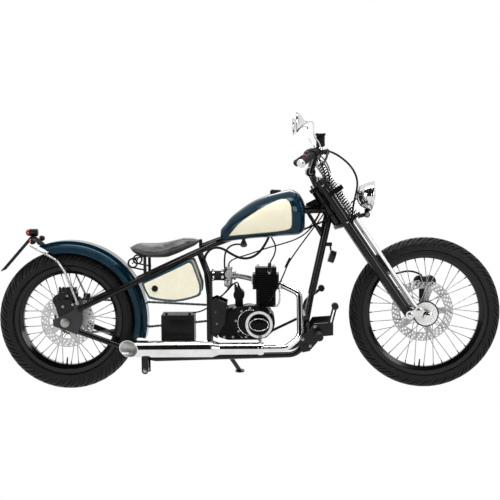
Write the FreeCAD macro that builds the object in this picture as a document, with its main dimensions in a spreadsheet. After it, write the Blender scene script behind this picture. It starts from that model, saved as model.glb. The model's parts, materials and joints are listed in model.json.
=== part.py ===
"""Chopper motorcycle: rigid tube frame, leading-link spring fork, wire wheels and one upright cylinder.

The bike is drawn upright, nose towards +X and left side towards +Y, with the rear axle above X = 0.
Every piece is then leaned to the left, as the bike rests on its side stand, and moved so that the
origin lies on the floor under the middle of its length and width.
"""
import FreeCAD, Part
import math
import os
import Sketcher

V = FreeCAD.Vector
X_AXIS, Y_AXIS, Z_AXIS = V(1, 0, 0), V(0, 1, 0), V(0, 0, 1)
QUARTER_TURN, HALF_TURN, FULL_TURN = 90, 180, 360

doc = FreeCAD.newDocument("chopper")
sheet = doc.addObject("Spreadsheet::Sheet", "sizes")

# Driving dimensions, in millimetres and degrees.
SIZES = {
    # whole bike
    "wheelbase": 1600, "lean_angle": 8, "seat_gap": 0.3, "overrun": 60,
    # wheels and tyres
    "rear_radius": 316.5, "rear_crown": 57, "rear_rim": 228.6, "rear_rim_half": 42,
    "front_radius": 338.5, "front_crown": 44, "front_rim": 266.7, "front_rim_half": 30, "tyre_wall": 9,
    "bead_width": 10, "bead_lift": 2, "flange_height": 13, "rim_wall": 4, "rim_well": 17,
    "hub_radius": 22, "hub_flange": 38, "flange_half": 34, "flange_wall": 5, "rear_hub_half": 96,
    "front_hub_half": 66, "spoke_radius": 1.7, "spoke_gap": 0.8, "spoke_count": 36, "axle_radius": 8.5,
    "axle_gap": 0.08, "nut_radius": 15, "nut_height": 13, "spacer_radius": 13, "rear_disc": 120,
    "front_disc": 140, "disc_ring": 34, "disc_wall": 4, "disc_hole": 3.8, "disc_hole_count": 18,
    "disc_window": 16, "window_count": 6, "disc_rows_gap": 15, "rear_disc_side": 58,
    "front_disc_side": 56, "cover_radius": 52, "cover_side": 50, "cover_wall": 10,
    "rim_bed_share": 0.55, "rim_floor_share": 0.28, "spoke_lean_angle": 58, "spoke_offset": 3.6,
    "spoke_spread": 3, "rear_tooth_count": 38, "tooth_root_share": 0.93, "rear_sprocket": 76,
    "drive_sprocket": 25, "sprocket_wall": 6, "chain_side": 84, "chain_width": 13, "chain_height": 11,
    "chain_pitch": 25.4, "chain_waist_share": 0.66, "chain_gap": 0.9, "drive_x": 698, "drive_z": 330,
    # frame tubes
    "rake_angle": 33.8, "head_x": 1132.5, "head_z": 870, "head_top": 24, "head_low": 150,
    "head_radius": 27, "stem_radius": 19.7, "stem_gap": 0.08, "spine_radius": 19, "spine_front_x": 1070,
    "spine_front_z": 806, "spine_rear_x": 600, "spine_rear_z": 636, "down_radius": 17, "split_x": 1094,
    "split_z": 425, "down_top_x": 1176, "down_top_z": 790, "rail_radius": 13, "rail_half": 94,
    "rail_front_x": 1048, "rail_front_z": 166, "rail_rear_x": 390, "rail_rear_z": 150, "rail_bend": 70,
    "shoulder_share": 0.8, "shoulder_x": 1066, "shoulder_z": 300, "tail_half": 113, "stay_knee_x": 430,
    "stay_knee_half": 92, "stay_bend": 300, "tail_x": 57, "tail_low_z": 277, "tail_high_z": 374,
    "plate_wall": 8, "post_radius": 11, "post_x": 634, "post_top_z": 622, "post_top_half": 36,
    "post_foot_half": 72, "tank_rear_x": 682, "tank_front_x": 1063, "tank_tail_z": 664,
    "tank_tall": 231, "tank_pad_x": 985, "tank_pad_radius": 16, "pad_gap": 0.3, "boss_x": 285,
    "boss_radius": 8, "gusset_wall": 8, "gusset_high": 26, "gusset_run": 50, "gusset_rise": 50,
    "brace_radius": 8, "brace_x": 1107, "brace_z": 744, "brace_foot_z": 671, "brace_bend": 40,
    "web_top_x": 1154, "web_top_z": 800, "web_mid_x": 1138, "web_mid_z": 726,
    "plate_long": 134, "plate_tall": 118, "stay_top_x": 690, "stay_top_z": 668, "post_top_x": 588,
    "post_knee_half": 52, "post_knee_z": 500, "post_bend": 90,
    # spring fork, along and ahead of the steering axis
    "leg_radius": 22, "leg_ahead": 30, "leg_half": 95, "leg_top": 62, "leg_foot": 655,
    "rod_radius": 9.5, "rod_ahead": 73, "rod_foot": 661, "top_yoke": 26, "low_yoke": 152,
    "yoke_wall": 16, "perch_top": 8, "perch_wall": 20, "yoke_margin": 27, "rocker_wall": 10,
    "rocker_end": 19, "eye_radius": 14, "spring_radius": 19, "spring_top": 129, "cap_wall": 6,
    # handlebar
    "bar_radius": 11, "clamp_x": 1090, "clamp_z": 973, "clamp_half": 50, "bar_high_x": 1112,
    "bar_high_z": 1066, "bar_knee": 250, "grip_x": 1036, "grip_z": 1010, "grip_half": 375,
    "grip_radius": 16, "grip_length": 118, "bar_bend": 55, "riser_radius": 14, "mirror_radius": 46,
    "mirror_wall": 22, "mirror_x": 1044, "mirror_z": 1186, "mirror_half": 330, "mirror_stem": 5,
    "reservoir_width": 40, "reservoir_height": 34, "lever_radius": 5, "lever_length": 150,
    "lever_ahead": 52,
    # lamps
    "lamp_radius": 72, "lamp_x": 1368, "lamp_z": 866, "lamp_depth": 72, "lamp_dip_angle": 4.5,
    "lamp_rim": 10, "lamp_wall": 3, "lamp_back": 30, "tail_lamp_x": 139, "tail_lamp_z": 709,
    "tail_lamp_long": 54, "fold_x": 162, "fold_z": 692, "tail_lamp_radius": 17, "blinker_x": 141,
    "blinker_z": 676, "blinker_half": 102, "blinker_radius": 13, "blinker_long": 28,
    # tank, seat and boxes
    "tank_half": 122, "tunnel_half": 27, "tunnel_gap": 6, "cap_radius": 24, "cap_height": 20,
    "tank_top_share": 0.62, "tank_low_share": 0.8, "shoulder_height_share": 0.62,
    "waist_height_share": 0.9, "belly_height_share": 0.31, "cap_x": 934, "cap_z": 868,
    "seat_rear_x": 285, "seat_front_x": 589, "seat_low_z": 603, "seat_tall": 78, "seat_top_share": 0.8,
    "seat_low_share": 0.8, "seat_hinge_x": 596, "seat_hinge_z": 668, "hinge_half": 16,
    "hinge_radius": 8, "hinge_drop": 30, "loop_x": 300, "loop_z": 577, "loop_radius": 20,
    "loop_wire": 4, "loop_pitch": 6.5, "loop_arm": 3.3, "seat_post_x": 354, "seat_post_half": 96,
    "seat_post_radius": 7, "loop_arm_z": 547, "seat_half": 126, "box_wall": 34, "box_half": 70,
    "battery_half": 62,
    # fender
    "fender_radius": 356, "fender_half": 70, "fender_wall": 2.5, "fender_skirt": 50, "fender_slash": 52,
    "fender_start_angle": -14, "fender_end_angle": 111, "strut_radius": 5, "fender_shoulder_share": 0.6,
    "strut_two_x": -40, "strut_three_x": -92, "strut_end_x": -158, "strut_foot_x": 56,
    "strut_foot_z": 404, "strut_stand_off": 3, "strut_eye": 7, "strut_one_x": 1, "strut_one_z": 536,
    "strut_two_z": 589, "strut_three_z": 620, "strut_end_z": 656, "strut_spread_share": 0.5,
    "strut_bend": 45, "bracket_step": 2, "bracket_wall": 4, "bracket_half": 45, "plate_run": 135,
    "plate_drop": 152,
    # engine
    "drive_tooth_count": 13, "shaft_radius": 12, "cover_long": 96, "cover_wide": 72, "cover_corner": 16,
    "cover_rise": 24, "stator_ring_share": 0.7, "mount_x": 624, "mount_long": 90, "mount_low": 238,
    "mount_tall": 176, "mount_wall": 6, "mount_brace": 6, "brace_inset": 26, "brace_top_z": 330,
    "intake_z": 490, "port_half": 20, "port_z": 470, "pipe_front_x": 1038, "pipe_side": 130,
    "pipe_high_z": 430, "pipe_low_z": 250, "pipe_low_x": 975, "port_bend_share": 0.6,
    "muffler_taper": 32, "mouth_depth": 190, "case_half": 60, "case_back": 652, "case_front": 928,
    "case_low": 226, "case_top": 372, "barrel_x": 888, "barrel_radius": 33, "fin_long": 88,
    "fin_wide": 104, "fin_wall": 3, "fin_pitch": 8, "barrel_fin_count": 10, "head_long": 118,
    "head_fin_count": 9, "clutch_x": 820, "clutch_z": 311, "clutch_radius": 77, "clutch_reach": 112,
    "oval_x": 857, "oval_z": 302, "oval_radius": 60, "oval_wall": 4, "oval_rim": 2, "oval_lift": 2,
    "oval_long": 46, "oval_tall": 32, "cover_edge": 7, "kick_x": 770, "kick_z": 330, "kick_radius": 50,
    "stator_x": 810, "stator_z": 300, "stator_radius": 74, "stator_reach": 70, "carb_x": 722,
    "carb_z": 510, "carb_radius": 21, "carb_low": 455, "carb_top": 552, "starter_x": 767,
    "starter_z": 424, "starter_radius": 25, "starter_half": 32, "starter_neck_share": 0.7,
    "intake_radius": 15, "flange_long": 8, "flange_ring": 6, "hose_radius": 22, "hose_start": 640,
    # exhaust
    "pipe_radius": 14, "muffler_radius": 37, "muffler_side": 165, "muffler_z": 205, "muffler_wall": 3,
    "muffler_tail": 247, "muffler_front": 652, "sleeve_radius": 26, "sleeve_front": 877,
    "cut_angle": 51, "slant_reach": 240, "hanger_x": 338, "hanger_long": 36, "hanger_low": 94,
    "hanger_side": 98, "hanger_wall": 14, "hanger_boss": 15, "hanger_strap": 7, "pipe_bend": 60,
    # controls and stand
    "rocker_side": 115, "rod_eye": 13, "rod_eye_half": 11, "yoke_middle": 31, "yoke_boss": 27,
    "rocker_waist_share": 0.7, "riser_ahead": 10, "clamp_share": 1.3, "caliper_x": 10,
    "front_caliper_x": 12, "caliper_wall": 20, "caliper_round": 27, "piston_shift": 24,
    "piston_radius": 17, "piston_lift": 4, "pad_wall": 8, "front_piston_drop": 8,
    "rear_piston_drop": 26, "disc_room": 7, "arm_wall": 6, "moving_gap": 5, "battery_back": 419,
    "battery_front": 567, "battery_top": 338, "battery_low": 217, "tray_wall": 4, "box_back": 338,
    "box_long": 268, "box_low": 405, "box_tall": 190, "control_x": 1026, "control_z": 176,
    "control_long": 159, "control_tall": 134, "control_half": 106, "control_wall": 10,
    "control_pivot_x": 1062, "control_pivot_z": 200, "toe_knee_x": 1061, "toe_knee_z": 373,
    "rail_slim": 4, "peg_x": 1120, "peg_z": 258, "peg_radius": 16, "peg_length": 92, "pad_x": 1188,
    "pad_z": 393, "pad_radius": 15, "pad_half": 190, "arm_radius": 7, "toe_x": 1147, "toe_z": 428,
    "stand_x": 705, "stand_reach": 62, "stand_out": 105, "stand_radius": 10, "stand_pivot": 13,
    "stand_swing_share": 0.243, "stand_rise_share": 0.063, "stand_lug": 20, "foot_radius": 22,
    "foot_wall": 6, "axle_bore": 5, "plate_hole": 3, "plate_hole_half": 30, "horn_radius": 28,
    "horn_depth": 26, "horn_x": 1186, "horn_z": 593, "horn_dip_angle": 18, "knob_z": 648,
    "knob_radius": 9,
}
for row, (name, value) in enumerate(SIZES.items(), start=1):
    sheet.set(f"A{row}", name)
    sheet.set(f"B{row}", str(value))
    sheet.setAlias(f"B{row}", name)
doc.recompute()


class Size(float):
    """A number that also knows the sheet expression it comes from."""

    def __new__(cls, value, text):
        number = super().__new__(cls, value)
        number.text = text
        return number

    def __add__(self, other):
        return Size(float(self) + float(other), f"({self.text} + {written(other)})")

    __radd__ = __add__

    def __sub__(self, other):
        return Size(float(self) - float(other), f"({self.text} - {written(other)})")

    def __rsub__(self, other):
        return Size(float(other) - float(self), f"({written(other)} - {self.text})")

    def __mul__(self, other):
        return Size(float(self) * float(other), f"({self.text} * {written(other)})")

    __rmul__ = __mul__

    def __truediv__(self, other):
        return Size(float(self) / float(other), f"({self.text} / {written(other)})")

    def __neg__(self):
        return Size(-float(self), f"(-{self.text})")


def written(number):
    """The text of a number in an expression."""
    return number.text if isinstance(number, Size) else repr(float(number))


class Sheet:
    """Reads one named size off the sheet."""

    def __getattr__(self, name):
        return Size(float(sheet.get(name)), f"sizes.{name}")


d = Sheet()


def cosine(angle):
    return Size(math.cos(math.radians(angle)), f"cos({written(angle)})")


def sine(angle):
    return Size(math.sin(math.radians(angle)), f"sin({written(angle)})")


def tangent(angle):
    return Size(math.tan(math.radians(angle)), f"tan({written(angle)})")


def bind(item, prop, number):
    """Give a property its number, tied to the sheet where the number comes from it."""
    if isinstance(number, Size):
        item.setExpression(prop, number.text)
    else:
        setattr(item, prop, number)


# Both tyres touch the floor once the bike has leaned over.
def axle_height(radius, crown):
    return radius - crown + crown / cosine(d.lean_angle)


rear_z = axle_height(d.rear_radius, d.rear_crown)
front_z = axle_height(d.front_radius, d.front_crown)
middle_x = (d.wheelbase + d.front_radius - d.rear_radius) / 2
left_edge = (d.mirror_half + d.mirror_radius) * cosine(d.lean_angle) + d.mirror_z * sine(d.lean_angle)
right_edge = d.grip_z * sine(d.lean_angle) - d.grip_half * cosine(d.lean_angle)
LEAN = FreeCAD.Placement(V(-middle_x, -(left_edge + right_edge) / 2, 0),
                         FreeCAD.Rotation(X_AXIS, -d.lean_angle))
FORK = FreeCAD.Placement(V(d.head_x, 0, d.head_z), FreeCAD.Rotation(Y_AXIS, -d.rake_angle))
nodes = []


def keep(item, label, frame=None):
    """Name a finished piece and lean it with the bike."""
    item.Label = label
    item.Placement = LEAN.multiply(frame or FreeCAD.Placement()).multiply(item.Placement)
    nodes.append(item)
    return item


def feature(label, shape, frame=None):
    """A finished piece from a shape drawn in the bike's frame, or in the frame given."""
    item = doc.addObject("Part::Feature", label)
    item.Shape = shape
    return keep(item, label, frame)


def body_at(name, place):
    """A body whose own origin lies at a point of the bike."""
    body = doc.addObject("PartDesign::Body", name)
    body.Placement.Base = place
    return body


def arc_centre(start, end, radius, turn):
    """Centre of the minor arc from start to end: turn +1 runs anticlockwise, -1 clockwise."""
    half = (end - start) / 2
    rise = math.sqrt(max(radius ** 2 - half.Length ** 2, 0))
    side = V(-half.y, half.x, 0).normalize()
    return start + half + side * rise * turn


def sketch_on(body, role, name, loops):
    """A sketch on one of the body's planes.

    A loop is (x, y, radius) for a circle, or a list of corners (x, y). A corner that carries
    (x, y, radius, turn) is reached by an arc from the corner before it.
    """
    sketch = body.newObject("Sketcher::SketchObject", name)
    plane = [item for item in body.Origin.OriginFeatures if item.Role == role][0]
    sketch.AttachmentSupport = [(plane, "")]
    sketch.MapMode = "FlatFace"

    def hold(kind, *terms):
        number = terms[-1]
        index = sketch.addConstraint(Sketcher.Constraint(kind, *terms[:-1], float(number)))
        if isinstance(number, Size):
            sketch.setExpression(f"Constraints[{index}]", number.text)

    for loop in loops:
        if isinstance(loop, tuple):
            x, y, radius = loop
            ring = sketch.addGeometry(Part.Circle(V(x, y, 0), Z_AXIS, radius), False)
            hold("Radius", ring, radius)
            hold("DistanceX", ring, 3, x)
            hold("DistanceY", ring, 3, y)
            continue
        edges = []
        for index, corner in enumerate(loop):
            start = V(loop[index - 1][0], loop[index - 1][1], 0)
            end = V(corner[0], corner[1], 0)
            if len(corner) == 2:
                edge = sketch.addGeometry(Part.LineSegment(start, end), False)
                edges.append((edge, 1, 2))
                continue
            radius, turn = corner[2], corner[3]
            centre = arc_centre(start, end, radius, turn)
            first, last = (start, end) if turn > 0 else (end, start)
            first_angle = math.atan2(first.y - centre.y, first.x - centre.x)
            last_angle = math.atan2(last.y - centre.y, last.x - centre.x)
            ring = Part.Circle(centre, Z_AXIS, radius)
            edge = sketch.addGeometry(Part.ArcOfCircle(ring, first_angle, last_angle), False)
            edges.append((edge, 1, 2) if turn > 0 else (edge, 2, 1))
            hold("Radius", edge, radius)
        for index, (edge, start, end) in enumerate(edges):
            following, follow_start = edges[(index + 1) % len(edges)][:2]
            sketch.addConstraint(Sketcher.Constraint("Coincident", edge, end, following, follow_start))
            hold("DistanceX", edge, end, loop[index][0])
            hold("DistanceY", edge, end, loop[index][1])
    return sketch


def turned(name, loops, place):
    """A body of revolution about a line along Y through the place: corners are (radius, side)."""
    body = body_at(name, place)
    profile = sketch_on(body, "XY_Plane", f"{name}_section", loops)
    spin = body.newObject("PartDesign::Revolution", f"{name}_turn")
    spin.Profile = profile
    spin.ReferenceAxis = (profile, ["V_Axis"])
    spin.Angle = FULL_TURN
    return body


def plate(name, loops, wall, place):
    """A flat body in the XZ plane, with its middle plane through the place."""
    body = body_at(name, place)
    profile = sketch_on(body, "XZ_Plane", f"{name}_outline", loops)
    pad = body.newObject("PartDesign::Pad", f"{name}_pad")
    pad.Profile = profile
    pad.SideType = "Symmetric"
    bind(pad, "Length", wall)
    return body


def rod(start, end, radius):
    """A plain round bar between two points."""
    run = end - start
    return Part.makeCylinder(radius, run.Length, start, run)


def block(low, high):
    """A box between two opposite corners."""
    span = high - low
    return Part.makeBox(span.x, span.y, span.z, low)


def prism(corners, side, wall):
    """A flat plate across Y between two faces, from corners (x, z)."""
    wire = Part.makePolygon([V(x, side, z) for x, z in corners + corners[:1]])
    return Part.Face(wire).extrude(V(0, wall, 0))


def bent_path(points, bends):
    """Straight runs joined by tangent arcs, one bend radius for each inner point."""
    edges = []
    start = points[0]
    for index in range(1, len(points) - 1):
        corner = points[index]
        back = (points[index - 1] - corner).normalize()
        ahead = (points[index + 1] - corner).normalize()
        half = back.getAngle(ahead) / 2
        cut = bends[index - 1] / math.tan(half)
        first = corner + back * cut
        last = corner + ahead * cut
        inward = (back + ahead).normalize()
        centre = corner + inward * (bends[index - 1] / math.sin(half))
        middle = centre - inward * bends[index - 1]
        edges.append(Part.LineSegment(start, first).toShape())
        edges.append(Part.Arc(first, middle, last).toShape())
        start = last
    edges.append(Part.LineSegment(start, points[-1]).toShape())
    return Part.Wire(edges)


def tube(points, radius, bends=()):
    """A round bar along a bent path."""
    if len(points) == 2:
        return rod(points[0], points[1], radius)
    path = bent_path(points, bends)
    ring = Part.Wire([Part.makeCircle(radius, points[0], points[1] - points[0])])
    return path.makePipeShell([ring], True, False)


def biggest(shape):
    """The largest solid that is left after a cut."""
    return max(shape.Solids, key=lambda solid: solid.Volume)


def mirrored(shape):
    """The same shape on the other side of the bike."""
    return shape.mirror(V(0, 0, 0), Y_AXIS)


def pair(shape):
    """A piece and its twin on the other side, as two solids of one node."""
    return Part.makeCompound([shape, mirrored(shape)])


def fused(shapes):
    """One solid of several that touch."""
    return shapes[0].fuse(list(shapes[1:])).removeSplitter()


def rounded_section(x, low, high, half, top_share, low_share):
    """A closed smooth section across the bike at one X, narrower at its top and its foot."""
    middle = (low + high) / 2
    tall = (high - low) / 2
    shoulder, waist = d.shoulder_height_share, d.waist_height_share
    corners = [
        (0, high), (half * top_share, middle + tall * waist), (half, middle + tall * (1 - shoulder)),
        (half, middle - tall * d.belly_height_share), (half * low_share, low + tall * (1 - waist)), (0, low),
    ]
    full = corners + [(-side, height) for side, height in corners[-2:0:-1]]
    curve = Part.BSplineCurve()
    curve.interpolate([V(x, side, height) for side, height in full], PeriodicFlag=True)
    return Part.Wire([curve.toShape()])



# Frame: steering head and backbone, down tube, two rails that run on as the lower stays.
up = V(-sine(d.rake_angle), 0, cosine(d.rake_angle))
ahead = V(cosine(d.rake_angle), 0, sine(d.rake_angle))
head = V(d.head_x, 0, d.head_z)


def on_fork(forward, side, rise):
    """A point of the bike from its place ahead of, beside and along the steering axis."""
    return head + ahead * forward + Y_AXIS * side + up * rise


def steering_head():
    """The head tube with its bore, the backbone behind it and two gusset plates."""
    top, low = on_fork(0, 0, d.head_top), on_fork(0, 0, -d.head_low)
    bore = rod(low - up * d.overrun, top + up * d.overrun, d.stem_radius + d.stem_gap)
    neck = V(d.spine_front_x, 0, d.spine_front_z)
    tail = V(d.spine_rear_x, 0, d.spine_rear_z)
    into = on_fork(0, 0, (d.spine_front_z - d.head_z) / cosine(d.rake_angle))
    spine = tube([into, neck, tail], d.spine_radius, [d.rail_bend])
    fall = (d.spine_front_z - d.spine_rear_z) / (d.spine_front_x - d.spine_rear_x)
    pad_z = d.spine_front_z - fall * (d.spine_front_x - d.tank_pad_x)
    pad_half = d.tunnel_half - d.pad_gap
    pad = rod(V(d.tank_pad_x, -pad_half, pad_z), V(d.tank_pad_x, pad_half, pad_z), d.tank_pad_radius)
    plate_corners = [
        (d.spine_front_x, d.spine_front_z), (d.spine_front_x, d.spine_front_z + d.gusset_high),
        (d.spine_front_x + d.gusset_run, d.spine_front_z + d.gusset_rise), (into.x, d.spine_front_z),
    ]
    gusset = prism(plate_corners, -d.gusset_wall / 2, d.gusset_wall)
    return fused([rod(low, top, d.head_radius), spine, pad, gusset]).cut(bore)


spine_shape = steering_head()
down_top = V(d.down_top_x, 0, d.down_top_z)
split = V(d.split_x, 0, d.split_z)
down_fall = (d.down_top_x - d.split_x) / (d.down_top_z - d.split_z)


def down_x(height):
    """X of the down tube's centre line at one height."""
    return d.down_top_x - down_fall * (d.down_top_z - height)


def down_tube():
    """The down tube with the curved brace behind it and a web plate between them."""
    brace = tube([V(d.spine_front_x, 0, d.spine_front_z), V(d.brace_x, 0, d.brace_z),
                  V(down_x(d.brace_foot_z), 0, d.brace_foot_z)], d.brace_radius, [d.brace_bend])
    corners = [(d.web_top_x, d.web_top_z), (d.web_mid_x, d.web_mid_z), (d.brace_x, d.brace_z),
               (down_x(d.brace_foot_z), d.brace_foot_z), (down_x(d.web_top_z), d.web_top_z)]
    web = prism(corners, -d.gusset_wall / 2, d.gusset_wall)
    return biggest(fused([rod(down_top, split, d.down_radius), brace, web]).cut(spine_shape))


down_shape = down_tube()


def rail():
    """One cradle tube: from the split, down, back under the engine and up to the axle plate."""
    points = [
        split, V(d.shoulder_x, d.rail_half * d.shoulder_share, d.shoulder_z),
        V(d.rail_front_x, d.rail_half, d.rail_front_z), V(d.rail_rear_x, d.rail_half, d.rail_rear_z),
        V(d.tail_x, d.tail_half, d.tail_low_z),
    ]
    shape = tube(points, d.rail_radius, [d.rail_bend, d.rail_bend, d.rail_bend])
    keep_out = block(V(0, -d.rail_half, 0), V(d.wheelbase, 0, d.head_z))
    return shape, keep_out



rail_shape, off_side = rail()
rail_shape = biggest(rail_shape.cut(down_shape).cut(off_side))

# Corners of the axle plate as shares of its length and height, measured from the axle.
PLATE_SHARES = [(-0.42, 0.1), (-0.4, -0.14), (0.1, -0.34), (0.36, -0.46), (0.54, -0.1), (0.58, 0.1),
                (0.57, 0.86), (0.34, 0.86), (0.3, 0.48), (0.02, 0.3)]


def axle_plate():
    """One plate that joins the stays and holds the rear axle."""
    corners = [(d.plate_long * x, rear_z + d.plate_tall * z) for x, z in PLATE_SHARES]
    blank = prism(corners, d.tail_half - d.plate_wall / 2, d.plate_wall)
    hole = rod(V(0, 0, rear_z), V(0, d.tail_half * 2, rear_z), d.axle_radius + d.axle_gap)
    return blank.cut(hole)


plate_shape = axle_plate()
rail_shape = biggest(rail_shape.cut(plate_shape))


def upper_stay():
    """One straight tube from the backbone to the axle plate."""
    start = V(d.stay_top_x, 0, d.stay_top_z)
    end = V(d.tail_x, d.tail_half, d.tail_high_z)
    along = (d.stay_top_x - d.stay_knee_x) / (d.stay_top_x - d.tail_x)
    knee = V(d.stay_knee_x, d.stay_knee_half, d.stay_top_z - (d.stay_top_z - d.tail_high_z) * along)
    shape = tube([start, knee, end], d.rail_radius, [d.stay_bend]).cut(spine_shape).cut(plate_shape)
    keep_out = block(V(0, -d.tail_half, 0), V(d.wheelbase, 0, d.wheelbase))
    along = (d.stay_knee_x - d.boss_x) / (d.stay_knee_x - d.tail_x)
    middle = knee + (end - knee) * along
    boss = rod(V(middle.x, d.fender_half + d.seat_gap, middle.z), middle, d.boss_radius)
    return fused([biggest(shape.cut(keep_out)), boss])


stay_shape = upper_stay()


def stay_height(x):
    """Height of the upper stay's centre line at one X."""
    fall = (d.stay_top_z - d.tail_high_z) / (d.stay_top_x - d.tail_x)
    return d.stay_top_z - fall * (d.stay_top_x - x)



def seat_post():
    """One tube from the upper stay down to the cradle."""
    start = V(d.post_top_x, d.post_top_half, d.post_top_z)
    knee = V(d.post_x, d.post_knee_half, d.post_knee_z)
    foot = V(d.post_x, d.post_foot_half, d.rail_rear_z)
    shape = tube([start, knee, foot], d.post_radius, [d.post_bend])
    return biggest(shape.cut(stay_shape).cut(rail_shape).cut(spine_shape))


post_shape = seat_post()
feature("frame_spine", spine_shape)
feature("frame_downtube", down_shape)
stand_axis = V(-d.stand_swing_share, 1, d.stand_rise_share).normalize()
stand_start = V(d.stand_x, d.rail_half, d.rail_rear_z)
stand_lug = rod(stand_start, stand_start + stand_axis * d.stand_lug, d.stand_pivot)
left_rail = rail_shape.fuse(stand_lug).removeSplitter()
feature("frame_cradle_left", left_rail)
feature("frame_cradle_right", mirrored(rail_shape))
feature("frame_stays", pair(stay_shape))
feature("frame_seat_tubes", pair(post_shape))
feature("axle_plates", pair(plate_shape))


# Wheels: a hollow tyre on a drop-centre rim, laced to a turned hub.
def tyre(name, radius, crown, rim, rim_half, place):
    """A tyre with its beads against the rim's flanges."""
    centre = radius - crown
    seat = rim + d.seat_gap
    flange = rim + d.flange_height
    inside = rim_half - d.rim_wall - d.seat_gap
    toe = inside - d.bead_width
    bulge_out = crown - inside
    bulge_up = centre - flange - d.bead_lift
    bulge = (bulge_out * bulge_out + bulge_up * bulge_up) / (bulge_out * 2)
    hollow = crown - d.tyre_wall
    section = [
        (seat, inside), (flange + d.bead_lift, inside), (centre, crown, bulge, -1),
        (radius, 0, crown, -1), (centre, -crown, crown, -1),
        (flange + d.bead_lift, -inside, bulge, -1), (seat, -inside), (seat, -toe),
        (flange, -toe), (centre, -hollow), (centre + hollow, 0, hollow, 1), (centre, hollow, hollow, 1),
        (flange, toe), (seat, toe),
    ]
    return keep(turned(name, [section], place), name)


def rim(name, radius, half, place):
    """A pressed rim: a flange each side and a well in the middle."""
    edge = radius + d.flange_height
    well = radius - d.rim_well
    bed = half * d.rim_bed_share
    floor = half * d.rim_floor_share
    wall = d.rim_wall
    section = [
        (edge, half), (edge, half - wall), (radius, half - wall), (radius, bed), (well, floor),
        (well, -floor), (radius, -bed), (radius, wall - half), (edge, wall - half), (edge, -half),
        (radius - wall, -half), (radius - wall, -bed), (well - wall, -floor), (well - wall, floor),
        (radius - wall, bed), (radius - wall, half),
    ]
    return keep(turned(name, [section], place), name)


def hub_shape(half, flanges, bore):
    """The turned hub between its two spoke flanges, bored for the axle."""
    shape = rod(V(0, -half, 0), V(0, half, 0), d.hub_radius)
    for side, radius in flanges:
        inner = V(0, side - d.flange_wall / 2, 0)
        shape = shape.fuse(rod(inner, inner + Y_AXIS * d.flange_wall, radius))
    return shape.cut(rod(V(0, -half - d.overrun, 0), V(0, half + d.overrun, 0), bore))


def spokes(reach):
    """Crossed spokes: on each flange every other spoke leans forward and leaves the outer face."""
    bars = []
    step = FULL_TURN / d.spoke_count
    lean = d.spoke_lean_angle
    for index in range(int(d.spoke_count)):
        side = 1 if index % 2 else -1
        leading = (index // 2) % 2 == 0
        rim_angle = step * index
        hub_angle = rim_angle - lean if leading else rim_angle + lean
        offset = d.spoke_offset if leading else -d.spoke_offset
        hub_side = side * (d.flange_half + offset)
        rim_side = side * (d.spoke_spread + offset / 2)
        hub_place = V(d.hub_flange - d.spoke_radius * 2, hub_side, 0)
        rim_place = V(reach, rim_side, 0)
        start = FreeCAD.Rotation(Y_AXIS, hub_angle).multVec(hub_place)
        end = FreeCAD.Rotation(Y_AXIS, rim_angle).multVec(rim_place)
        bars.append(rod(start, end, d.spoke_radius))
    return bars


def disc(name, radius, place):
    """A brake disc: drilled ring, windows and a carrier out to the middle."""
    hub = d.hub_radius + d.seat_gap
    drilled = radius - d.disc_ring / 2
    body = plate(name, [(0, 0, radius), (0, 0, hub)], d.disc_wall, place)
    doc.recompute()
    windows = (radius - d.disc_ring + hub) / 2
    rows = [
        (drilled + d.disc_rows_gap / 2, d.disc_hole, d.disc_hole_count, 0),
        (drilled - d.disc_rows_gap / 2, d.disc_hole, d.disc_hole_count, HALF_TURN / d.disc_hole_count),
        (windows, d.disc_window, d.window_count, 0),
    ]
    for number, (distance, hole, count, turn) in enumerate(rows):
        ring = (distance * cosine(turn), distance * sine(turn), hole)
        outline = sketch_on(body, "XZ_Plane", f"{name}_hole_{number}", [ring])
        pocket = body.newObject("PartDesign::Pocket", f"{name}_drill_{number}")
        pocket.Profile = outline
        pocket.SideType = "Symmetric"
        pocket.Type = "ThroughAll"
        pattern = body.newObject("PartDesign::PolarPattern", f"{name}_ring_{number}")
        pattern.Originals = [pocket]
        pattern.Axis = (outline, ["N_Axis"])
        pattern.Angle = FULL_TURN
        bind(pattern, "Occurrences", count)
        body.Tip = pattern
    return keep(body, name)


def sprocket_shape(radius, teeth, wall, side):
    """A toothed plate across Y: straight-sided teeth round a plain ring."""
    points = []
    step = FULL_TURN / teeth
    for index in range(int(teeth)):
        for share, reach in ((0, 1), (0.2, 1), (0.5, d.tooth_root_share), (0.7, d.tooth_root_share)):
            angle = math.radians(step * (index + share))
            points.append((radius * reach * math.cos(angle), radius * reach * math.sin(angle)))
    return prism(points, side - wall / 2, wall)


front_axle = V(d.wheelbase, 0, front_z)
rear_axle = V(0, 0, rear_z)
tyre("rear_tyre", d.rear_radius, d.rear_crown, d.rear_rim, d.rear_rim_half, rear_axle)
rim("rear_rim", d.rear_rim, d.rear_rim_half, rear_axle)
tyre("front_tyre", d.front_radius, d.front_crown, d.front_rim, d.front_rim_half, front_axle)
rim("front_rim", d.front_rim, d.front_rim_half, front_axle)
bore = d.axle_radius + d.axle_gap


def wheel_place(point):
    return FreeCAD.Placement(point, FreeCAD.Rotation())


def spoke_reach(radius):
    return radius - d.rim_well - d.rim_wall - d.spoke_gap


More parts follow.
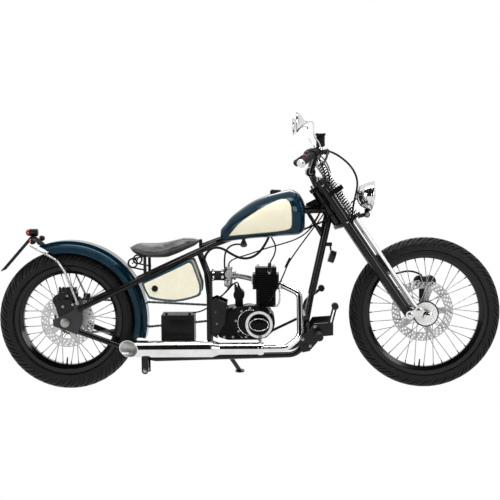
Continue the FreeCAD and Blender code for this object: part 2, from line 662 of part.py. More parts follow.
rear_flanges = [(-d.flange_half, d.hub_flange), (d.flange_half, d.hub_flange)]
rear_hub = fused([hub_shape(d.rear_hub_half, rear_flanges, bore)] + spokes(spoke_reach(d.rear_rim)))
feature("rear_hub", rear_hub, wheel_place(rear_axle))
front_hub = hub_shape(d.front_hub_half, rear_flanges, bore)
cover = rod(V(0, -d.cover_side - d.cover_wall, 0), V(0, -d.cover_side, 0), d.cover_radius)
cover = cover.cut(rod(V(0, -d.front_hub_half, 0), V(0, 0, 0), bore))
front_hub = fused([front_hub, cover] + spokes(spoke_reach(d.front_rim)))
feature("front_hub", front_hub, wheel_place(front_axle))
disc("rear_disc", d.rear_disc, rear_axle - Y_AXIS * d.rear_disc_side)
disc("front_disc", d.front_disc, front_axle + Y_AXIS * d.front_disc_side)
rear_cog = sprocket_shape(d.rear_sprocket, d.rear_tooth_count, d.sprocket_wall, d.chain_side)
rear_cog = rear_cog.cut(rod(V(0, 0, 0), V(0, d.chain_side * 2, 0), d.hub_radius + d.seat_gap))
feature("rear_sprocket", rear_cog, wheel_place(rear_axle))


# Fuel tank, seat and rear fender.
# Each row: place along the length, underside and top as shares of the height, half width share.
TANK_SHARES = [
    (0.0, 0.03, 0.17, 0.16), (0.008, 0.01, 0.24, 0.26), (0.06, 0.0, 0.34, 0.38), (0.143, 0.017, 0.5, 0.52),
    (0.36, 0.06, 0.757, 0.78), (0.577, 0.087, 0.91, 0.94), (0.74, 0.11, 0.98, 1.0), (0.839, 0.12, 1.0, 0.99),
    (0.926, 0.135, 0.94, 0.9), (0.985, 0.2, 0.8, 0.7), (1.0, 0.3, 0.7, 0.55),
]


def lofted(rows, start_x, end_x, low_z, tall, half, top_share, low_share):
    """A smooth solid through sections across the bike."""
    wires = []
    for along, low, high, wide in rows:
        x = start_x + (end_x - start_x) * along
        wires.append(rounded_section(x, low_z + tall * low, low_z + tall * high, half * wide,
                                     top_share, low_share))
    return Part.makeLoft(wires, True, False)


def tank():
    """The tank, with a tunnel underneath that clears the backbone."""
    shape = lofted(TANK_SHARES, d.tank_rear_x, d.tank_front_x, d.tank_tail_z, d.tank_tall,
                   d.tank_half, d.tank_top_share, d.tank_low_share)
    reach = d.spine_radius + d.tunnel_gap
    rise = (d.spine_front_z - d.spine_rear_z) / (d.spine_front_x - d.spine_rear_x)
    far_x, near_x = d.spine_front_x + d.overrun, d.spine_rear_x
    corners = [
        (near_x, 0), (far_x, 0), (far_x, d.spine_front_z + reach),
        (d.spine_front_x, d.spine_front_z + reach), (near_x, d.spine_rear_z + reach + rise),
    ]
    return shape.cut(prism(corners, -d.tunnel_half, d.tunnel_half * 2))


tank_shape = tank()
feature("fuel_tank", tank_shape)
cap_foot = V(d.cap_x, 0, d.cap_z)
cap_shape = rod(cap_foot, cap_foot + Z_AXIS * d.cap_height, d.cap_radius).cut(tank_shape)
feature("tank_cap", biggest(cap_shape))

SEAT_SHARES = [
    (0, 0.42, 0.58, 0.35), (0.05, 0.25, 0.68, 0.62), (0.15, 0.06, 0.63, 0.9), (0.25, 0.01, 0.6, 1),
    (0.4, 0.0, 0.61, 0.96), (0.533, 0.02, 0.69, 0.82), (0.707, 0.25, 0.85, 0.52), (0.82, 0.45, 0.95, 0.38),
    (0.914, 0.6, 0.99, 0.3), (1, 0.8, 0.98, 0.2),
]
seat_shape = lofted(SEAT_SHARES, d.seat_rear_x, d.seat_front_x, d.seat_low_z, d.seat_tall, d.seat_half,
                    d.seat_top_share, d.seat_low_share)
feature("seat", seat_shape)


def seat_hinge():
    """The nose hinge of the seat on the backbone."""
    nose = V(d.seat_hinge_x, 0, d.seat_hinge_z)
    pin = rod(nose - Y_AXIS * d.hinge_half, nose + Y_AXIS * d.hinge_half, d.hinge_radius)
    leg = rod(nose, nose - Z_AXIS * d.hinge_drop, d.hinge_radius)
    return biggest(fused([pin, leg]).cut(seat_shape).cut(spine_shape))


def seat_post_shape():
    """A short post from the upper stay to the seat pan."""
    foot = V(d.seat_post_x, d.seat_post_half, stay_height(d.seat_post_x))
    top = V(d.seat_post_x, d.seat_post_half, d.seat_low_z + d.seat_tall / 2)
    return biggest(rod(foot, top, d.seat_post_radius).cut(seat_shape).cut(stay_shape))


pan_post = seat_post_shape()


def seat_spring():
    """A hairpin spring: two turns of wire across the bike with an arm to the pan and one to the post."""
    shapes = []
    for turn in (0, 1):
        middle = V(d.loop_x, d.seat_post_half - d.loop_pitch * turn, d.loop_z)
        shapes.append(Part.makeTorus(d.loop_radius, d.loop_wire, middle, Y_AXIS))
    outer = V(d.loop_x, d.seat_post_half, d.loop_z)
    inner = outer - Y_AXIS * d.loop_pitch
    post = V(d.seat_post_x, d.seat_post_half, d.loop_arm_z)
    shapes.append(rod(outer - Z_AXIS * d.loop_radius, post, d.loop_arm))
    pan = V(d.seat_post_x, inner.y, d.seat_low_z + d.seat_tall / 2)
    shapes.append(rod(inner + Z_AXIS * d.loop_radius, pan, d.loop_arm))
    return biggest(fused(shapes).cut(seat_shape).cut(pan_post))


feature("seat_mounts", Part.makeCompound([seat_hinge(), pan_post, mirrored(pan_post)]))
feature("seat_springs", pair(seat_spring()))


def fender():
    """A pressed channel swept round the rear wheel."""
    crown = d.fender_radius
    skirt = crown - d.fender_skirt
    wall = d.fender_wall
    shoulder = d.fender_half * d.fender_shoulder_share
    round_off = d.fender_half - shoulder
    section = [
        (skirt, d.fender_half), (crown - round_off, d.fender_half), (crown, shoulder, round_off, 1),
        (crown, -shoulder), (crown - round_off, -d.fender_half, round_off, 1),
        (skirt, -d.fender_half), (skirt, wall - d.fender_half),
        (crown - round_off, wall - d.fender_half), (crown - wall, -shoulder, round_off - wall, -1),
        (crown - wall, shoulder), (crown - round_off, d.fender_half - wall, round_off - wall, -1),
        (skirt, d.fender_half - wall),
    ]
    body = body_at("rear_fender", rear_axle)
    profile = sketch_on(body, "XY_Plane", "fender_section", [section])
    sweep = body.newObject("PartDesign::Revolution", "fender_turn")
    sweep.Profile = profile
    sweep.ReferenceAxis = (profile, ["V_Axis"])
    bind(sweep, "Angle", d.fender_end_angle - d.fender_start_angle)
    slash = [(crown, 0), (skirt - d.fender_wall, 0), (skirt - d.fender_wall, -d.fender_slash)]
    outline = sketch_on(body, "XZ_Plane", "fender_slash_outline", [slash])
    pocket = body.newObject("PartDesign::Pocket", "fender_slash_cut")
    pocket.Profile = outline
    pocket.SideType = "Symmetric"
    pocket.Type = "ThroughAll"
    body.Tip = pocket
    body.Placement.Rotation = FreeCAD.Rotation(Y_AXIS, -d.fender_end_angle)
    return body


fender_body = fender()
doc.recompute()
fender_shape = fender_body.Shape.copy()
keep(fender_body, "rear_fender")


def polar(angle, distance, side=0):
    """A point round the rear axle: 0 ahead, 90 above."""
    turn = math.radians(angle)
    return rear_axle + V(math.cos(turn), 0, math.sin(turn)) * distance + Y_AXIS * side


def strut():
    """One bent rod from the axle plate up the outside of the fender to its rear end."""
    side = d.fender_half + d.strut_radius + d.seat_gap
    face = d.tail_half + d.plate_wall / 2
    foot = V(d.strut_foot_x, face + d.strut_radius + d.strut_stand_off, d.strut_foot_z)
    points = [
        foot, V(d.strut_one_x, side + (foot.y - side) * d.strut_spread_share, d.strut_one_z),
        V(d.strut_two_x, side, d.strut_two_z), V(d.strut_three_x, side, d.strut_three_z),
        V(d.strut_end_x, side, d.strut_end_z),
    ]
    eye = rod(V(d.strut_foot_x, face, d.strut_foot_z), foot + Y_AXIS * d.strut_radius, d.strut_eye)
    return fused([tube(points, d.strut_radius, [d.strut_bend for _ in points[1:-1]]), eye])


strut_shape = strut()
feature("fender_struts", pair(strut_shape))

# Lamps and plate bracket behind the fender.
def bracket():
    """A folded strip from the fender's edge out to the plate, with its two indicators' arms."""
    start = polar(d.fender_end_angle - d.bracket_step, d.fender_radius)
    fold = V(-d.fold_x, 0, d.fold_z)
    end = fold + V(-d.plate_run, 0, -d.plate_drop)
    strips = [rod(fold - Y_AXIS * d.bracket_half, fold + Y_AXIS * d.bracket_half, d.bracket_wall / 2)]
    for first, last in ((start, fold), (fold, end)):
        run = (last - first).normalize()
        across = V(-run.z, 0, run.x) * (d.bracket_wall / 2)
        edge = [first - across, last - across, last + across, first + across]
        strips.append(prism([(point.x, point.z) for point in edge], -d.bracket_half, d.bracket_half * 2))
    shape = biggest(fused(strips).cut(fender_shape))
    for side in (1, -1):
        place = (fold + end) / 2 + Y_AXIS * d.plate_hole_half * side
        shape = shape.cut(rod(place - across * d.overrun, place + across * d.overrun, d.plate_hole))
    return shape


bracket_shape = bracket()
feature("plate_bracket", bracket_shape)
tail_place = V(-d.tail_lamp_x, 0, d.tail_lamp_z)
tail_tip = tail_place - X_AXIS * d.tail_lamp_long
feature("tail_lamp", biggest(rod(tail_place, tail_tip, d.tail_lamp_radius).cut(bracket_shape)))


def blinker():
    """One round indicator on a short arm from the fender's side."""
    middle = V(-d.blinker_x, d.blinker_half, d.blinker_z)
    shape = rod(middle - X_AXIS * d.blinker_long / 2, middle + X_AXIS * d.blinker_long / 2,
                d.blinker_radius)
    arm = rod(V(middle.x, d.bracket_half, middle.z), middle, d.strut_radius)
    return biggest(shape.fuse(arm).cut(fender_shape).cut(strut_shape))


feature("rear_indicators", pair(blinker()))


# Engine: one upright cylinder on a cast case, with round covers on both sides.
# Corners of the case as shares of its length and height, from its low rear corner.
CASE_SHARES = [(0.02, 0.3), (0.1, 0.08), (0.24, 0.0), (0.72, 0.0), (0.86, 0.07), (0.97, 0.26), (1.0, 0.5),
               (0.98, 0.74), (0.92, 0.88), (0.86, 1.0), (0.68, 1.0), (0.5, 0.98), (0.36, 1.02), (0.24, 0.98),
               (0.1, 0.88), (0.0, 0.72)]


def engine_case():
    """The cast case with the starter's round housing on its top."""
    long, tall = d.case_front - d.case_back, d.case_top - d.case_low
    corners = [(d.case_back + long * x, d.case_low + tall * z) for x, z in CASE_SHARES]
    case = prism(corners, -d.case_half, d.case_half * 2)
    flat = block(V(d.barrel_x - d.fin_long / 2, -d.case_half, d.case_top),
                 V(d.case_front, d.case_half, d.head_z))
    starter = V(d.starter_x, 0, d.starter_z)
    drum = rod(starter - Y_AXIS * d.starter_half, starter + Y_AXIS * d.starter_half, d.starter_radius)
    neck_long, neck_half = d.starter_radius * d.starter_neck_share, d.starter_half * d.starter_neck_share
    neck = block(V(d.starter_x - neck_long, -neck_half, d.case_low + tall / 2),
                 V(d.starter_x + neck_long, neck_half, d.starter_z))
    return fused([case.cut(flat), drum, neck])


case_solid = engine_case()
feature("crankcase", case_solid)
drive = V(d.drive_x, 0, d.drive_z)
shaft_start = drive + Y_AXIS * d.case_half
cog = sprocket_shape(d.drive_sprocket, d.drive_tooth_count, d.sprocket_wall, d.chain_side)
cog.translate(drive)
shaft = rod(shaft_start, drive + Y_AXIS * (d.chain_side + d.sprocket_wall), d.shaft_radius)
feature("drive_sprocket", fused([cog, shaft]))


def finned(name, count, long, wide, place, core, cover=0):
    """Square cooling fins one above another on a core, which rises above them as a cover."""
    body = body_at(name, place)
    column = sketch_on(body, "XY_Plane", f"{name}_core", [core])
    pad = body.newObject("PartDesign::Pad", f"{name}_column")
    pad.Profile = column
    bind(pad, "Length", d.fin_pitch * count + cover)
    outline = [(-long / 2, -wide / 2), (long / 2, -wide / 2), (long / 2, wide / 2), (-long / 2, wide / 2)]
    fin = sketch_on(body, "XY_Plane", f"{name}_fin", [outline])
    leaf = body.newObject("PartDesign::Pad", f"{name}_leaf")
    leaf.Profile = fin
    bind(leaf, "Length", d.fin_wall)
    row = body.newObject("PartDesign::LinearPattern", f"{name}_fins")
    row.Originals = [leaf]
    row.Direction = (fin, ["N_Axis"])
    bind(row, "Length", d.fin_pitch * (count - 1))
    bind(row, "Occurrences", count)
    body.Tip = row
    return keep(body, name)


barrel_foot = V(d.barrel_x, 0, d.case_top)
head_foot = barrel_foot + Z_AXIS * (d.fin_pitch * d.barrel_fin_count)
finned("cylinder", d.barrel_fin_count, d.fin_long, d.fin_wide, barrel_foot, (0, 0, d.barrel_radius))
cover_x, cover_y, corner = d.cover_long / 2, d.cover_wide / 2, d.cover_corner
head_core = [
    (corner - cover_x, -cover_y), (cover_x - corner, -cover_y), (cover_x, corner - cover_y),
    (cover_x, cover_y - corner), (cover_x - corner, cover_y), (corner - cover_x, cover_y),
    (-cover_x, cover_y - corner), (-cover_x, corner - cover_y),
]
finned("cylinder_head", d.head_fin_count, d.head_long, d.fin_wide, head_foot, head_core, d.cover_rise)


def round_cover(middle, side, reach, radius, step, step_radius):
    """A round cast cover with a raised ring, from the case out to its reach."""
    start = middle + Y_AXIS * side * d.case_half
    edge = middle + Y_AXIS * side * reach
    shape = rod(start, edge, radius)
    return shape.fuse(rod(edge, edge + Y_AXIS * side * step, step_radius)).removeSplitter()


def tangent_web(first, first_radius, second, second_radius, wall):
    """The flat web that touches two upright bosses on both sides."""
    run = second - first
    lean = (first_radius - second_radius) / run.Length
    along = V(run.x, run.y, 0).normalize()
    across = V(-along.y, along.x, 0)
    corners = []
    for side in (1, -1):
        edge = along * lean + across * side * math.sqrt(1 - lean * lean)
        corners.append((first + edge * first_radius, second + edge * second_radius))
    points = [corners[0][0], corners[0][1], corners[1][1], corners[1][0]]
    return Part.Face(Part.makePolygon(points + points[:1])).extrude(V(0, 0, wall))


def clutch_cover():
    """The right cover: three round swellings in one skin with a rounded edge, and the oval boss."""
    wall = d.clutch_reach - d.case_half
    spots = [
        (V(d.clutch_x, d.clutch_z, 0), d.clutch_radius),
        (V(d.oval_x, d.oval_z, 0), d.oval_radius + d.oval_rim), (V(d.kick_x, d.kick_z, 0), d.kick_radius),
    ]
    shapes = [rod(place, place + Z_AXIS * wall, radius) for place, radius in spots]
    for place, radius in spots[1:]:
        shapes.append(tangent_web(spots[0][0], spots[0][1], place, radius, wall))
    skin = fused(shapes)
    edges = [edge for edge in skin.Edges if min(point.Z for point in edge.Vertexes) > wall - d.seat_gap]
    skin = skin.makeFillet(d.cover_edge, edges)
    oval = Part.Ellipse(V(d.oval_x, d.oval_z, wall), d.oval_long, d.oval_tall)
    boss = Part.Face(Part.Wire([oval.toShape()]))
    skin = skin.fuse(boss.extrude(Z_AXIS * (d.oval_wall + d.oval_lift)))
    skin.rotate(V(0, 0, 0), X_AXIS, QUARTER_TURN)
    skin.translate(-Y_AXIS * d.case_half)
    return skin


clutch_shape = clutch_cover()
feature("clutch_cover", clutch_shape)
ring_place = V(d.oval_x, -d.clutch_reach, d.oval_z)
feature("cover_ring", rod(ring_place, ring_place - Y_AXIS * d.oval_wall, d.oval_radius).cut(clutch_shape))
stator_middle = V(d.stator_x, 0, d.stator_z)
feature("left_cover", round_cover(stator_middle, 1, d.stator_reach, d.stator_radius, d.oval_wall,
                                  d.oval_radius * d.stator_ring_share))


# Corners of the rear engine plates as shares of their length and height.
MOUNT_SHARES = [(0.0, 0.1), (0.0, 0.9), (0.45, 1.0), (1.0, 0.88), (0.88, 0.35), (0.45, 0.0)]


def mount_plate(side):
    """One plate beside the case that hangs it on a seat tube."""
    corners = [(d.mount_x + d.mount_long * x, d.mount_low + d.mount_tall * z) for x, z in MOUNT_SHARES]
    near = d.case_half if side > 0 else -d.case_half - d.mount_wall
    shape = prism(corners, near, d.mount_wall).cut(post_shape).cut(mirrored(post_shape)).cut(shaft_room)
    return biggest(shape)


shaft_room = rod(drive, drive + Y_AXIS * d.chain_side, d.shaft_radius + d.moving_gap)
brace_foot = V(d.case_front - d.brace_inset, 0, d.case_low + d.brace_inset)
front_brace = rod(brace_foot, V(d.shoulder_x, 0, d.brace_top_z), d.mount_brace)
cross_end = V(d.shoulder_x, d.rail_half, d.brace_top_z)
cross_tube = rod(cross_end - Y_AXIS * (d.rail_half * 2), cross_end, d.post_radius)
front_mount = fused([front_brace, cross_tube]).cut(down_shape).cut(rail_shape).cut(mirrored(rail_shape))
front_mount = biggest(front_mount.cut(case_solid))
feature("engine_mounts", Part.makeCompound([mount_plate(1), mount_plate(-1), front_mount]))
carb_shape = rod(V(d.carb_x, 0, d.carb_low), V(d.carb_x, 0, d.carb_top), d.carb_radius)
head_back = V(d.barrel_x - d.head_long / 2, 0, d.intake_z)
intake_flange = rod(head_back - X_AXIS * d.flange_long, head_back, d.intake_radius + d.flange_ring)
manifold = rod(V(d.carb_x, 0, d.carb_z), head_back - X_AXIS * d.flange_long, d.intake_radius)
air_hose = rod(V(d.hose_start, 0, d.carb_z), V(d.carb_x, 0, d.carb_z), d.hose_radius)
feature("carburettor", fused([carb_shape, manifold, intake_flange]))
feature("air_hose", biggest(air_hose.cut(carb_shape).cut(post_shape).cut(mirrored(post_shape))))

# Exhaust on the right, from the port round the case and back to a slash-cut muffler.
def exhaust():
    """The header pipe: solid along its bends."""
    port = V(d.barrel_x + d.head_long / 2, -d.port_half, d.port_z)
    points = [
        port + X_AXIS * d.flange_long, V(d.pipe_front_x, -d.port_half - d.pipe_radius, d.pipe_high_z),
        V(d.pipe_front_x, -d.pipe_side, d.pipe_low_z), V(d.pipe_low_x, -d.muffler_side, d.muffler_z),
        V(d.sleeve_front, -d.muffler_side, d.muffler_z),
    ]
    pipe = tube(points, d.pipe_radius, [d.pipe_bend * d.port_bend_share, d.pipe_bend, d.pipe_bend])
    flange = rod(port, port + X_AXIS * d.flange_long, d.pipe_radius + d.flange_ring)
    return fused([pipe, flange])


header_shape = exhaust()
feature("exhaust_header", header_shape)


def muffler():
    """The sleeve and the drum as one turned shell, cut on the slant at its open tail."""
    tail, front = d.muffler_tail, d.muffler_front
    axis = V(0, -d.muffler_side, d.muffler_z)
    drum = rod(axis + X_AXIS * (tail - d.muffler_radius), axis + X_AXIS * front, d.muffler_radius)
    taper = Part.makeCone(d.muffler_radius, d.sleeve_radius, d.muffler_taper, axis + X_AXIS * front, X_AXIS)
    sleeve = rod(axis + X_AXIS * front, axis + X_AXIS * d.sleeve_front, d.sleeve_radius)
    shell = drum.fuse([taper, sleeve]).removeSplitter()
    mouth = rod(axis + X_AXIS * (tail - d.slant_reach), axis + X_AXIS * (tail + d.mouth_depth),
                d.muffler_radius - d.muffler_wall)
    reach = d.slant_reach
    slant = block(V(-reach, -reach, -reach), V(0, reach, reach))
    slant.rotate(V(0, 0, 0), Z_AXIS, d.cut_angle)
    slant.translate(axis + X_AXIS * (tail + d.muffler_radius))
    return biggest(shell.cut(mouth).cut(slant))


muffler_shape = muffler()
feature("muffler", muffler_shape)


def muffler_bracket():
    """A lug under the right rail, with a round boss and a strap up to the muffler."""
    far = d.hanger_x + d.hanger_long
    lug = block(V(d.hanger_x, -d.hanger_side - d.hanger_wall, d.hanger_low),
                V(far, -d.hanger_side, d.rail_rear_z + d.hanger_wall))
    middle = V((d.hanger_x + far) / 2, -d.hanger_side, d.hanger_low + d.hanger_boss)
    boss = rod(middle, V(middle.x, -d.muffler_side - d.hanger_strap, middle.z), d.hanger_boss)
    strap = block(V(middle.x - d.hanger_boss, -d.muffler_side - d.hanger_strap, middle.z),
                  V(middle.x + d.hanger_boss, -d.muffler_side, d.muffler_z))
    return biggest(fused([lug, boss, strap]).cut(mirrored(rail_shape)).cut(muffler_shape))


feature("muffler_bracket", muffler_bracket())


# Chain: one closed loop round both sprockets.
def chain():
    """The chain's band from its pitch circles, clear of both sprockets."""
    inner_big = d.rear_sprocket + d.chain_gap
    inner_small = d.drive_sprocket + d.chain_gap
    span = drive - rear_axle

    tilt = math.asin((inner_big - inner_small) / span.Length)
    base = math.atan2(span.z, span.x)
    straight = math.sqrt(span.Length ** 2 - (inner_big - inner_small) ** 2)
    middle = d.chain_height / 2
    big, small = inner_big + middle, inner_small + middle
    turn = math.pi + tilt * 2
    whole = straight * 2 + turn * big + (math.tau - turn) * small

    def spot(distance):
        """A point of the chain's centre line and the way out from it."""
        angle = base + math.pi / 2 - tilt
        if distance < straight:
            out = V(math.cos(angle), 0, math.sin(angle))
            return rear_axle + out * big + V(out.z, 0, -out.x) * distance, out
        distance -= straight
        if distance < (math.tau - turn) * small:
            angle -= distance / small
            out = V(math.cos(angle), 0, math.sin(angle))
            return drive + out * small, out
        distance -= (math.tau - turn) * small
        angle = base - math.pi / 2 + tilt
        if distance < straight:
            out = V(math.cos(angle), 0, math.sin(angle))
            return drive + out * small + V(out.z, 0, -out.x) * distance, out
        angle -= (distance - straight) / big
        out = V(math.cos(angle), 0, math.sin(angle))
        return rear_axle + out * big, out

    count = int(whole / d.chain_pitch) * 2
    rings = []
    for side in (1, -1):
        corners = []
        for index in range(count):
            place, out = spot(whole * index / count)
            reach = middle if index % 2 else middle * d.chain_waist_share
            corners.append(place + out * (reach * side))
        rings.append(Part.Wire(Part.makePolygon(corners + corners[:1])))
    band = Part.Face(rings[0]).extrude(V(0, d.chain_width, 0))
    hole = Part.Face(rings[1]).extrude(V(0, d.chain_width, 0))
    solid = band.cut(hole)
    solid.translate(V(0, d.chain_side - d.chain_width / 2, 0))
    return solid


feature("chain", chain())


# Spring fork: stem and yokes, fixed rear legs, sprung front rods, and rockers that hold the axle.
def yoke(rise, places):
    """A forged yoke: a boss round the stem and one round each tube, joined by tangent webs."""
    middle = V(0, 0, rise)
    up_wall = V(0, 0, d.yoke_wall)
    shapes = [rod(middle, middle + up_wall, d.yoke_middle)]
    for side in (1, -1):
        start, start_radius = middle, d.yoke_middle
        for forward in places:
            centre = V(forward, d.leg_half * side, rise)
            shapes.append(rod(centre, centre + up_wall, d.yoke_boss))
            shapes.append(tangent_web(start, start_radius, centre, d.yoke_boss, d.yoke_wall))
            start, start_radius = centre, d.yoke_boss
    return fused(shapes)


def leg_axis(forward, low, high, side=1):
    """The centre line of a fork tube, in the fork's frame."""
    return V(forward, d.leg_half * side, low), V(forward, d.leg_half * side, high)


def fork_legs():
    """The fixed legs, each with an eye for its rocker and a flat where the rocker swings."""
    low, high = leg_axis(d.leg_ahead, -d.leg_foot, d.leg_top)
    eye_half = d.rocker_side - d.leg_half
    eye = rod(low - Y_AXIS * eye_half, low + Y_AXIS * eye_half, d.eye_radius)
    flat = block(V(0, d.rocker_side, low.z - d.rocker_end),
                 V(d.rod_ahead, d.rocker_side + d.leg_radius, low.z + d.rocker_end * 2))
    return fused([rod(low, high, d.leg_radius), eye]).cut(flat)


leg_shape = fork_legs()
legs_cut = [leg_shape, mirrored(leg_shape)]
rod_low, rod_high = leg_axis(d.rod_ahead, -d.rod_foot, d.spring_top + d.cap_wall)
rod_eye = rod(rod_low - Y_AXIS * d.rod_eye_half, V(rod_low.x, d.rocker_side, rod_low.z), d.rod_eye)
rod_shape = fused([rod(rod_low, rod_high, d.rod_radius), rod_eye])
rods_cut = [rod_shape, mirrored(rod_shape)]


def yokes():
    """Stem, top yoke, spring perch and low yoke, bored for the legs and rods."""
    stem = rod(V(0, 0, -d.low_yoke - d.yoke_wall), V(0, 0, d.top_yoke + d.yoke_wall), d.stem_radius)
    top = yoke(d.top_yoke, [d.leg_ahead])
    low = yoke(-d.low_yoke - d.yoke_wall, [d.leg_ahead, d.rod_ahead])
    start, end = leg_axis(d.rod_ahead, d.top_yoke, d.top_yoke + d.yoke_wall)
    room = rod(start, end, d.spring_radius + d.seat_gap)
    shape = fused([stem, top, low])
    return shape.cut(legs_cut + rods_cut + [room, mirrored(room)])


yokes_shape = biggest(yokes())
perch = block(V(d.leg_ahead, d.leg_half - d.yoke_margin, -d.perch_top - d.perch_wall),
              V(d.rod_ahead + d.yoke_margin, d.leg_half + d.yoke_margin, -d.perch_top))
perch = biggest(perch.cut(leg_shape).cut(rod_shape))
feature("fork_yokes", Part.makeCompound([yokes_shape, perch, mirrored(perch)]), FORK)
feature("fork_legs", pair(leg_shape), FORK)
feature("fork_rods", pair(rod_shape), FORK)


def coil_tube(low, high):
    """A spring as a plain sleeve of its own outer size round the rod."""
    inner = d.rod_radius + d.seat_gap
    start, end = leg_axis(d.rod_ahead, low, high)
    return rod(start, end, d.spring_radius).cut(rod(start, end, inner))


spring_low = coil_tube(-d.low_yoke, -d.perch_top - d.perch_wall)
spring_top = coil_tube(-d.perch_top, d.spring_top)
feature("fork_springs", Part.makeCompound([spring_low, spring_top, mirrored(spring_low),
                                           mirrored(spring_top)]), FORK)

axle_local = FORK.inverse().multVec(front_axle)


def rocker():
    """The rocker on one side: a flat link from the leg's eye past the rod's eye to the axle."""
    legs = V(d.leg_ahead, d.rocker_side, -d.leg_foot)
    rods = V(d.rod_ahead, d.rocker_side, -d.rod_foot)
    hub_end = axle_local + Y_AXIS * d.rocker_side
    out = Y_AXIS * d.rocker_wall
    bosses = [rod(point, point + out, d.rocker_end) for point in (legs, rods, hub_end)]
    corners = []
    for first, second in ((legs, rods), (rods, hub_end)):
        run = (second - first).normalize()
        across = V(-run.z, 0, run.x) * (d.rocker_end * d.rocker_waist_share)
        corners.append([first + across, second + across, second - across, first - across])
    links = []
    for points in corners:
        wire = Part.makePolygon(points + points[:1])
        links.append(Part.Face(wire).extrude(out))
    return fused(bosses + links)


def front_axle_parts():
    """The axle with its spacers and end nuts, fused to both rockers."""
    end = d.rocker_side + d.rocker_wall
    shapes = [rod(axle_local - Y_AXIS * end, axle_local + Y_AXIS * end, d.axle_radius)]
    for side in (1, -1):
        hub_end = axle_local + Y_AXIS * side * (d.front_hub_half + d.axle_gap * 2)
        link = axle_local + Y_AXIS * side * d.rocker_side
        shapes.append(rod(hub_end, link, d.spacer_radius))
        face = axle_local + Y_AXIS * side * end
        shapes.append(rod(face, face + Y_AXIS * side * d.nut_height, d.nut_radius))
    hole = rod(axle_local - Y_AXIS * end * 2, axle_local + Y_AXIS * end * 2, d.axle_bore)
    return fused(shapes + [rocker(), mirrored(rocker())]).cut(hole)


rocker_shape = front_axle_parts()
feature("fork_rockers", rocker_shape, FORK)
rear_end = d.tail_half + d.plate_wall / 2
rear_parts = [rod(V(0, -rear_end, 0), V(0, rear_end, 0), d.axle_radius)]
for side in (1, -1):
    start = Y_AXIS * side * (d.rear_hub_half + d.axle_gap * 2)
    inner_face = Y_AXIS * side * (d.tail_half - d.plate_wall / 2)
    outer_face = Y_AXIS * side * rear_end
    rear_parts.append(rod(start, inner_face, d.spacer_radius))
    rear_parts.append(rod(outer_face, outer_face + Y_AXIS * side * d.nut_height, d.nut_radius))
rear_hole = rod(V(0, -rear_end * 2, 0), V(0, rear_end * 2, 0), d.axle_bore)
feature("rear_axle", fused(rear_parts).cut(rear_hole), wheel_place(rear_axle))


# Handlebar with its clamps, grips, levers and mirrors.
def fork_local(point):
    """A point of the bike in the fork's own frame."""
    return FORK.inverse().multVec(point)


clamp = fork_local(V(d.clamp_x, 0, d.clamp_z))
bar_high = fork_local(V(d.bar_high_x, 0, d.bar_high_z))
grip_end = fork_local(V(d.grip_x, 0, d.grip_z))
knee = bar_high + Y_AXIS * d.bar_knee
tip = grip_end + Y_AXIS * d.grip_half


def handlebar():
    """The bent bar on two risers that stand on the top yoke."""
    elbow = clamp + Y_AXIS * d.clamp_half * 2
    right = [V(point.x, -point.y, point.z) for point in (tip, knee, elbow)]
    points = right + [elbow, knee, tip]
    bar = tube(points, d.bar_radius, [d.bar_bend for _ in points[1:-1]])
    risers = []
    for side in (1, -1):
        foot = V(d.riser_ahead, d.clamp_half * side, d.top_yoke + d.yoke_wall)
        risers.append(rod(foot, clamp + Y_AXIS * side * d.clamp_half, d.riser_radius))
    return biggest(fused([bar] + risers).cut(yokes_shape)), bar


bar_solid, bar_only = handlebar()
feature("handlebar", bar_solid, FORK)
run = (tip - knee).normalize()


def grip():
    """A rubber grip over the end of the bar."""
    shape = rod(tip - run * d.grip_length, tip, d.grip_radius)
    return biggest(shape.cut(bar_only))


feature("grips", pair(grip()), FORK)


def controls():
    """A clamp and reservoir beside the grip with a lever ahead of it."""
    middle = tip - run * (d.grip_length + d.reservoir_width)
    half = d.reservoir_width / 2
    body = rod(middle - run * half, middle + run * half, d.grip_radius * d.clamp_share)
    front = X_AXIS * d.lever_ahead
    pivot = middle + front
    arm = rod(middle, pivot, d.lever_radius * 2)
    blade = rod(pivot, pivot + run * d.lever_length, d.lever_radius)
    cup = rod(middle, middle + up_local * d.reservoir_height, d.reservoir_width / 2)
    return biggest(fused([body, arm, blade, cup]).cut(bar_only))


up_local = FORK.Rotation.inverted().multVec(Z_AXIS)
controls_shape = controls()
feature("levers", pair(controls_shape), FORK)


def mirror():
    """A round mirror on a thin stem that stands on the lever's clamp."""
    foot = tip - run * (d.grip_length + d.reservoir_width) + up_local * d.reservoir_height
    middle = fork_local(V(d.mirror_x, d.mirror_half, d.mirror_z))
    back = FORK.Rotation.inverted().multVec(X_AXIS)
    shell = rod(middle - back * d.mirror_wall / 2, middle + back * d.mirror_wall / 2, d.mirror_radius)
    neck = middle + back * (d.mirror_wall + d.mirror_stem * 2)
    elbow = neck
    stem = rod(foot, elbow, d.mirror_stem)
    arm = rod(middle, elbow, d.mirror_stem)
    ball = Part.makeSphere(d.mirror_stem * 2, elbow)
    return biggest(fused([shell, arm, stem, ball]).cut(controls_shape))


feature("mirrors", pair(mirror()), FORK)


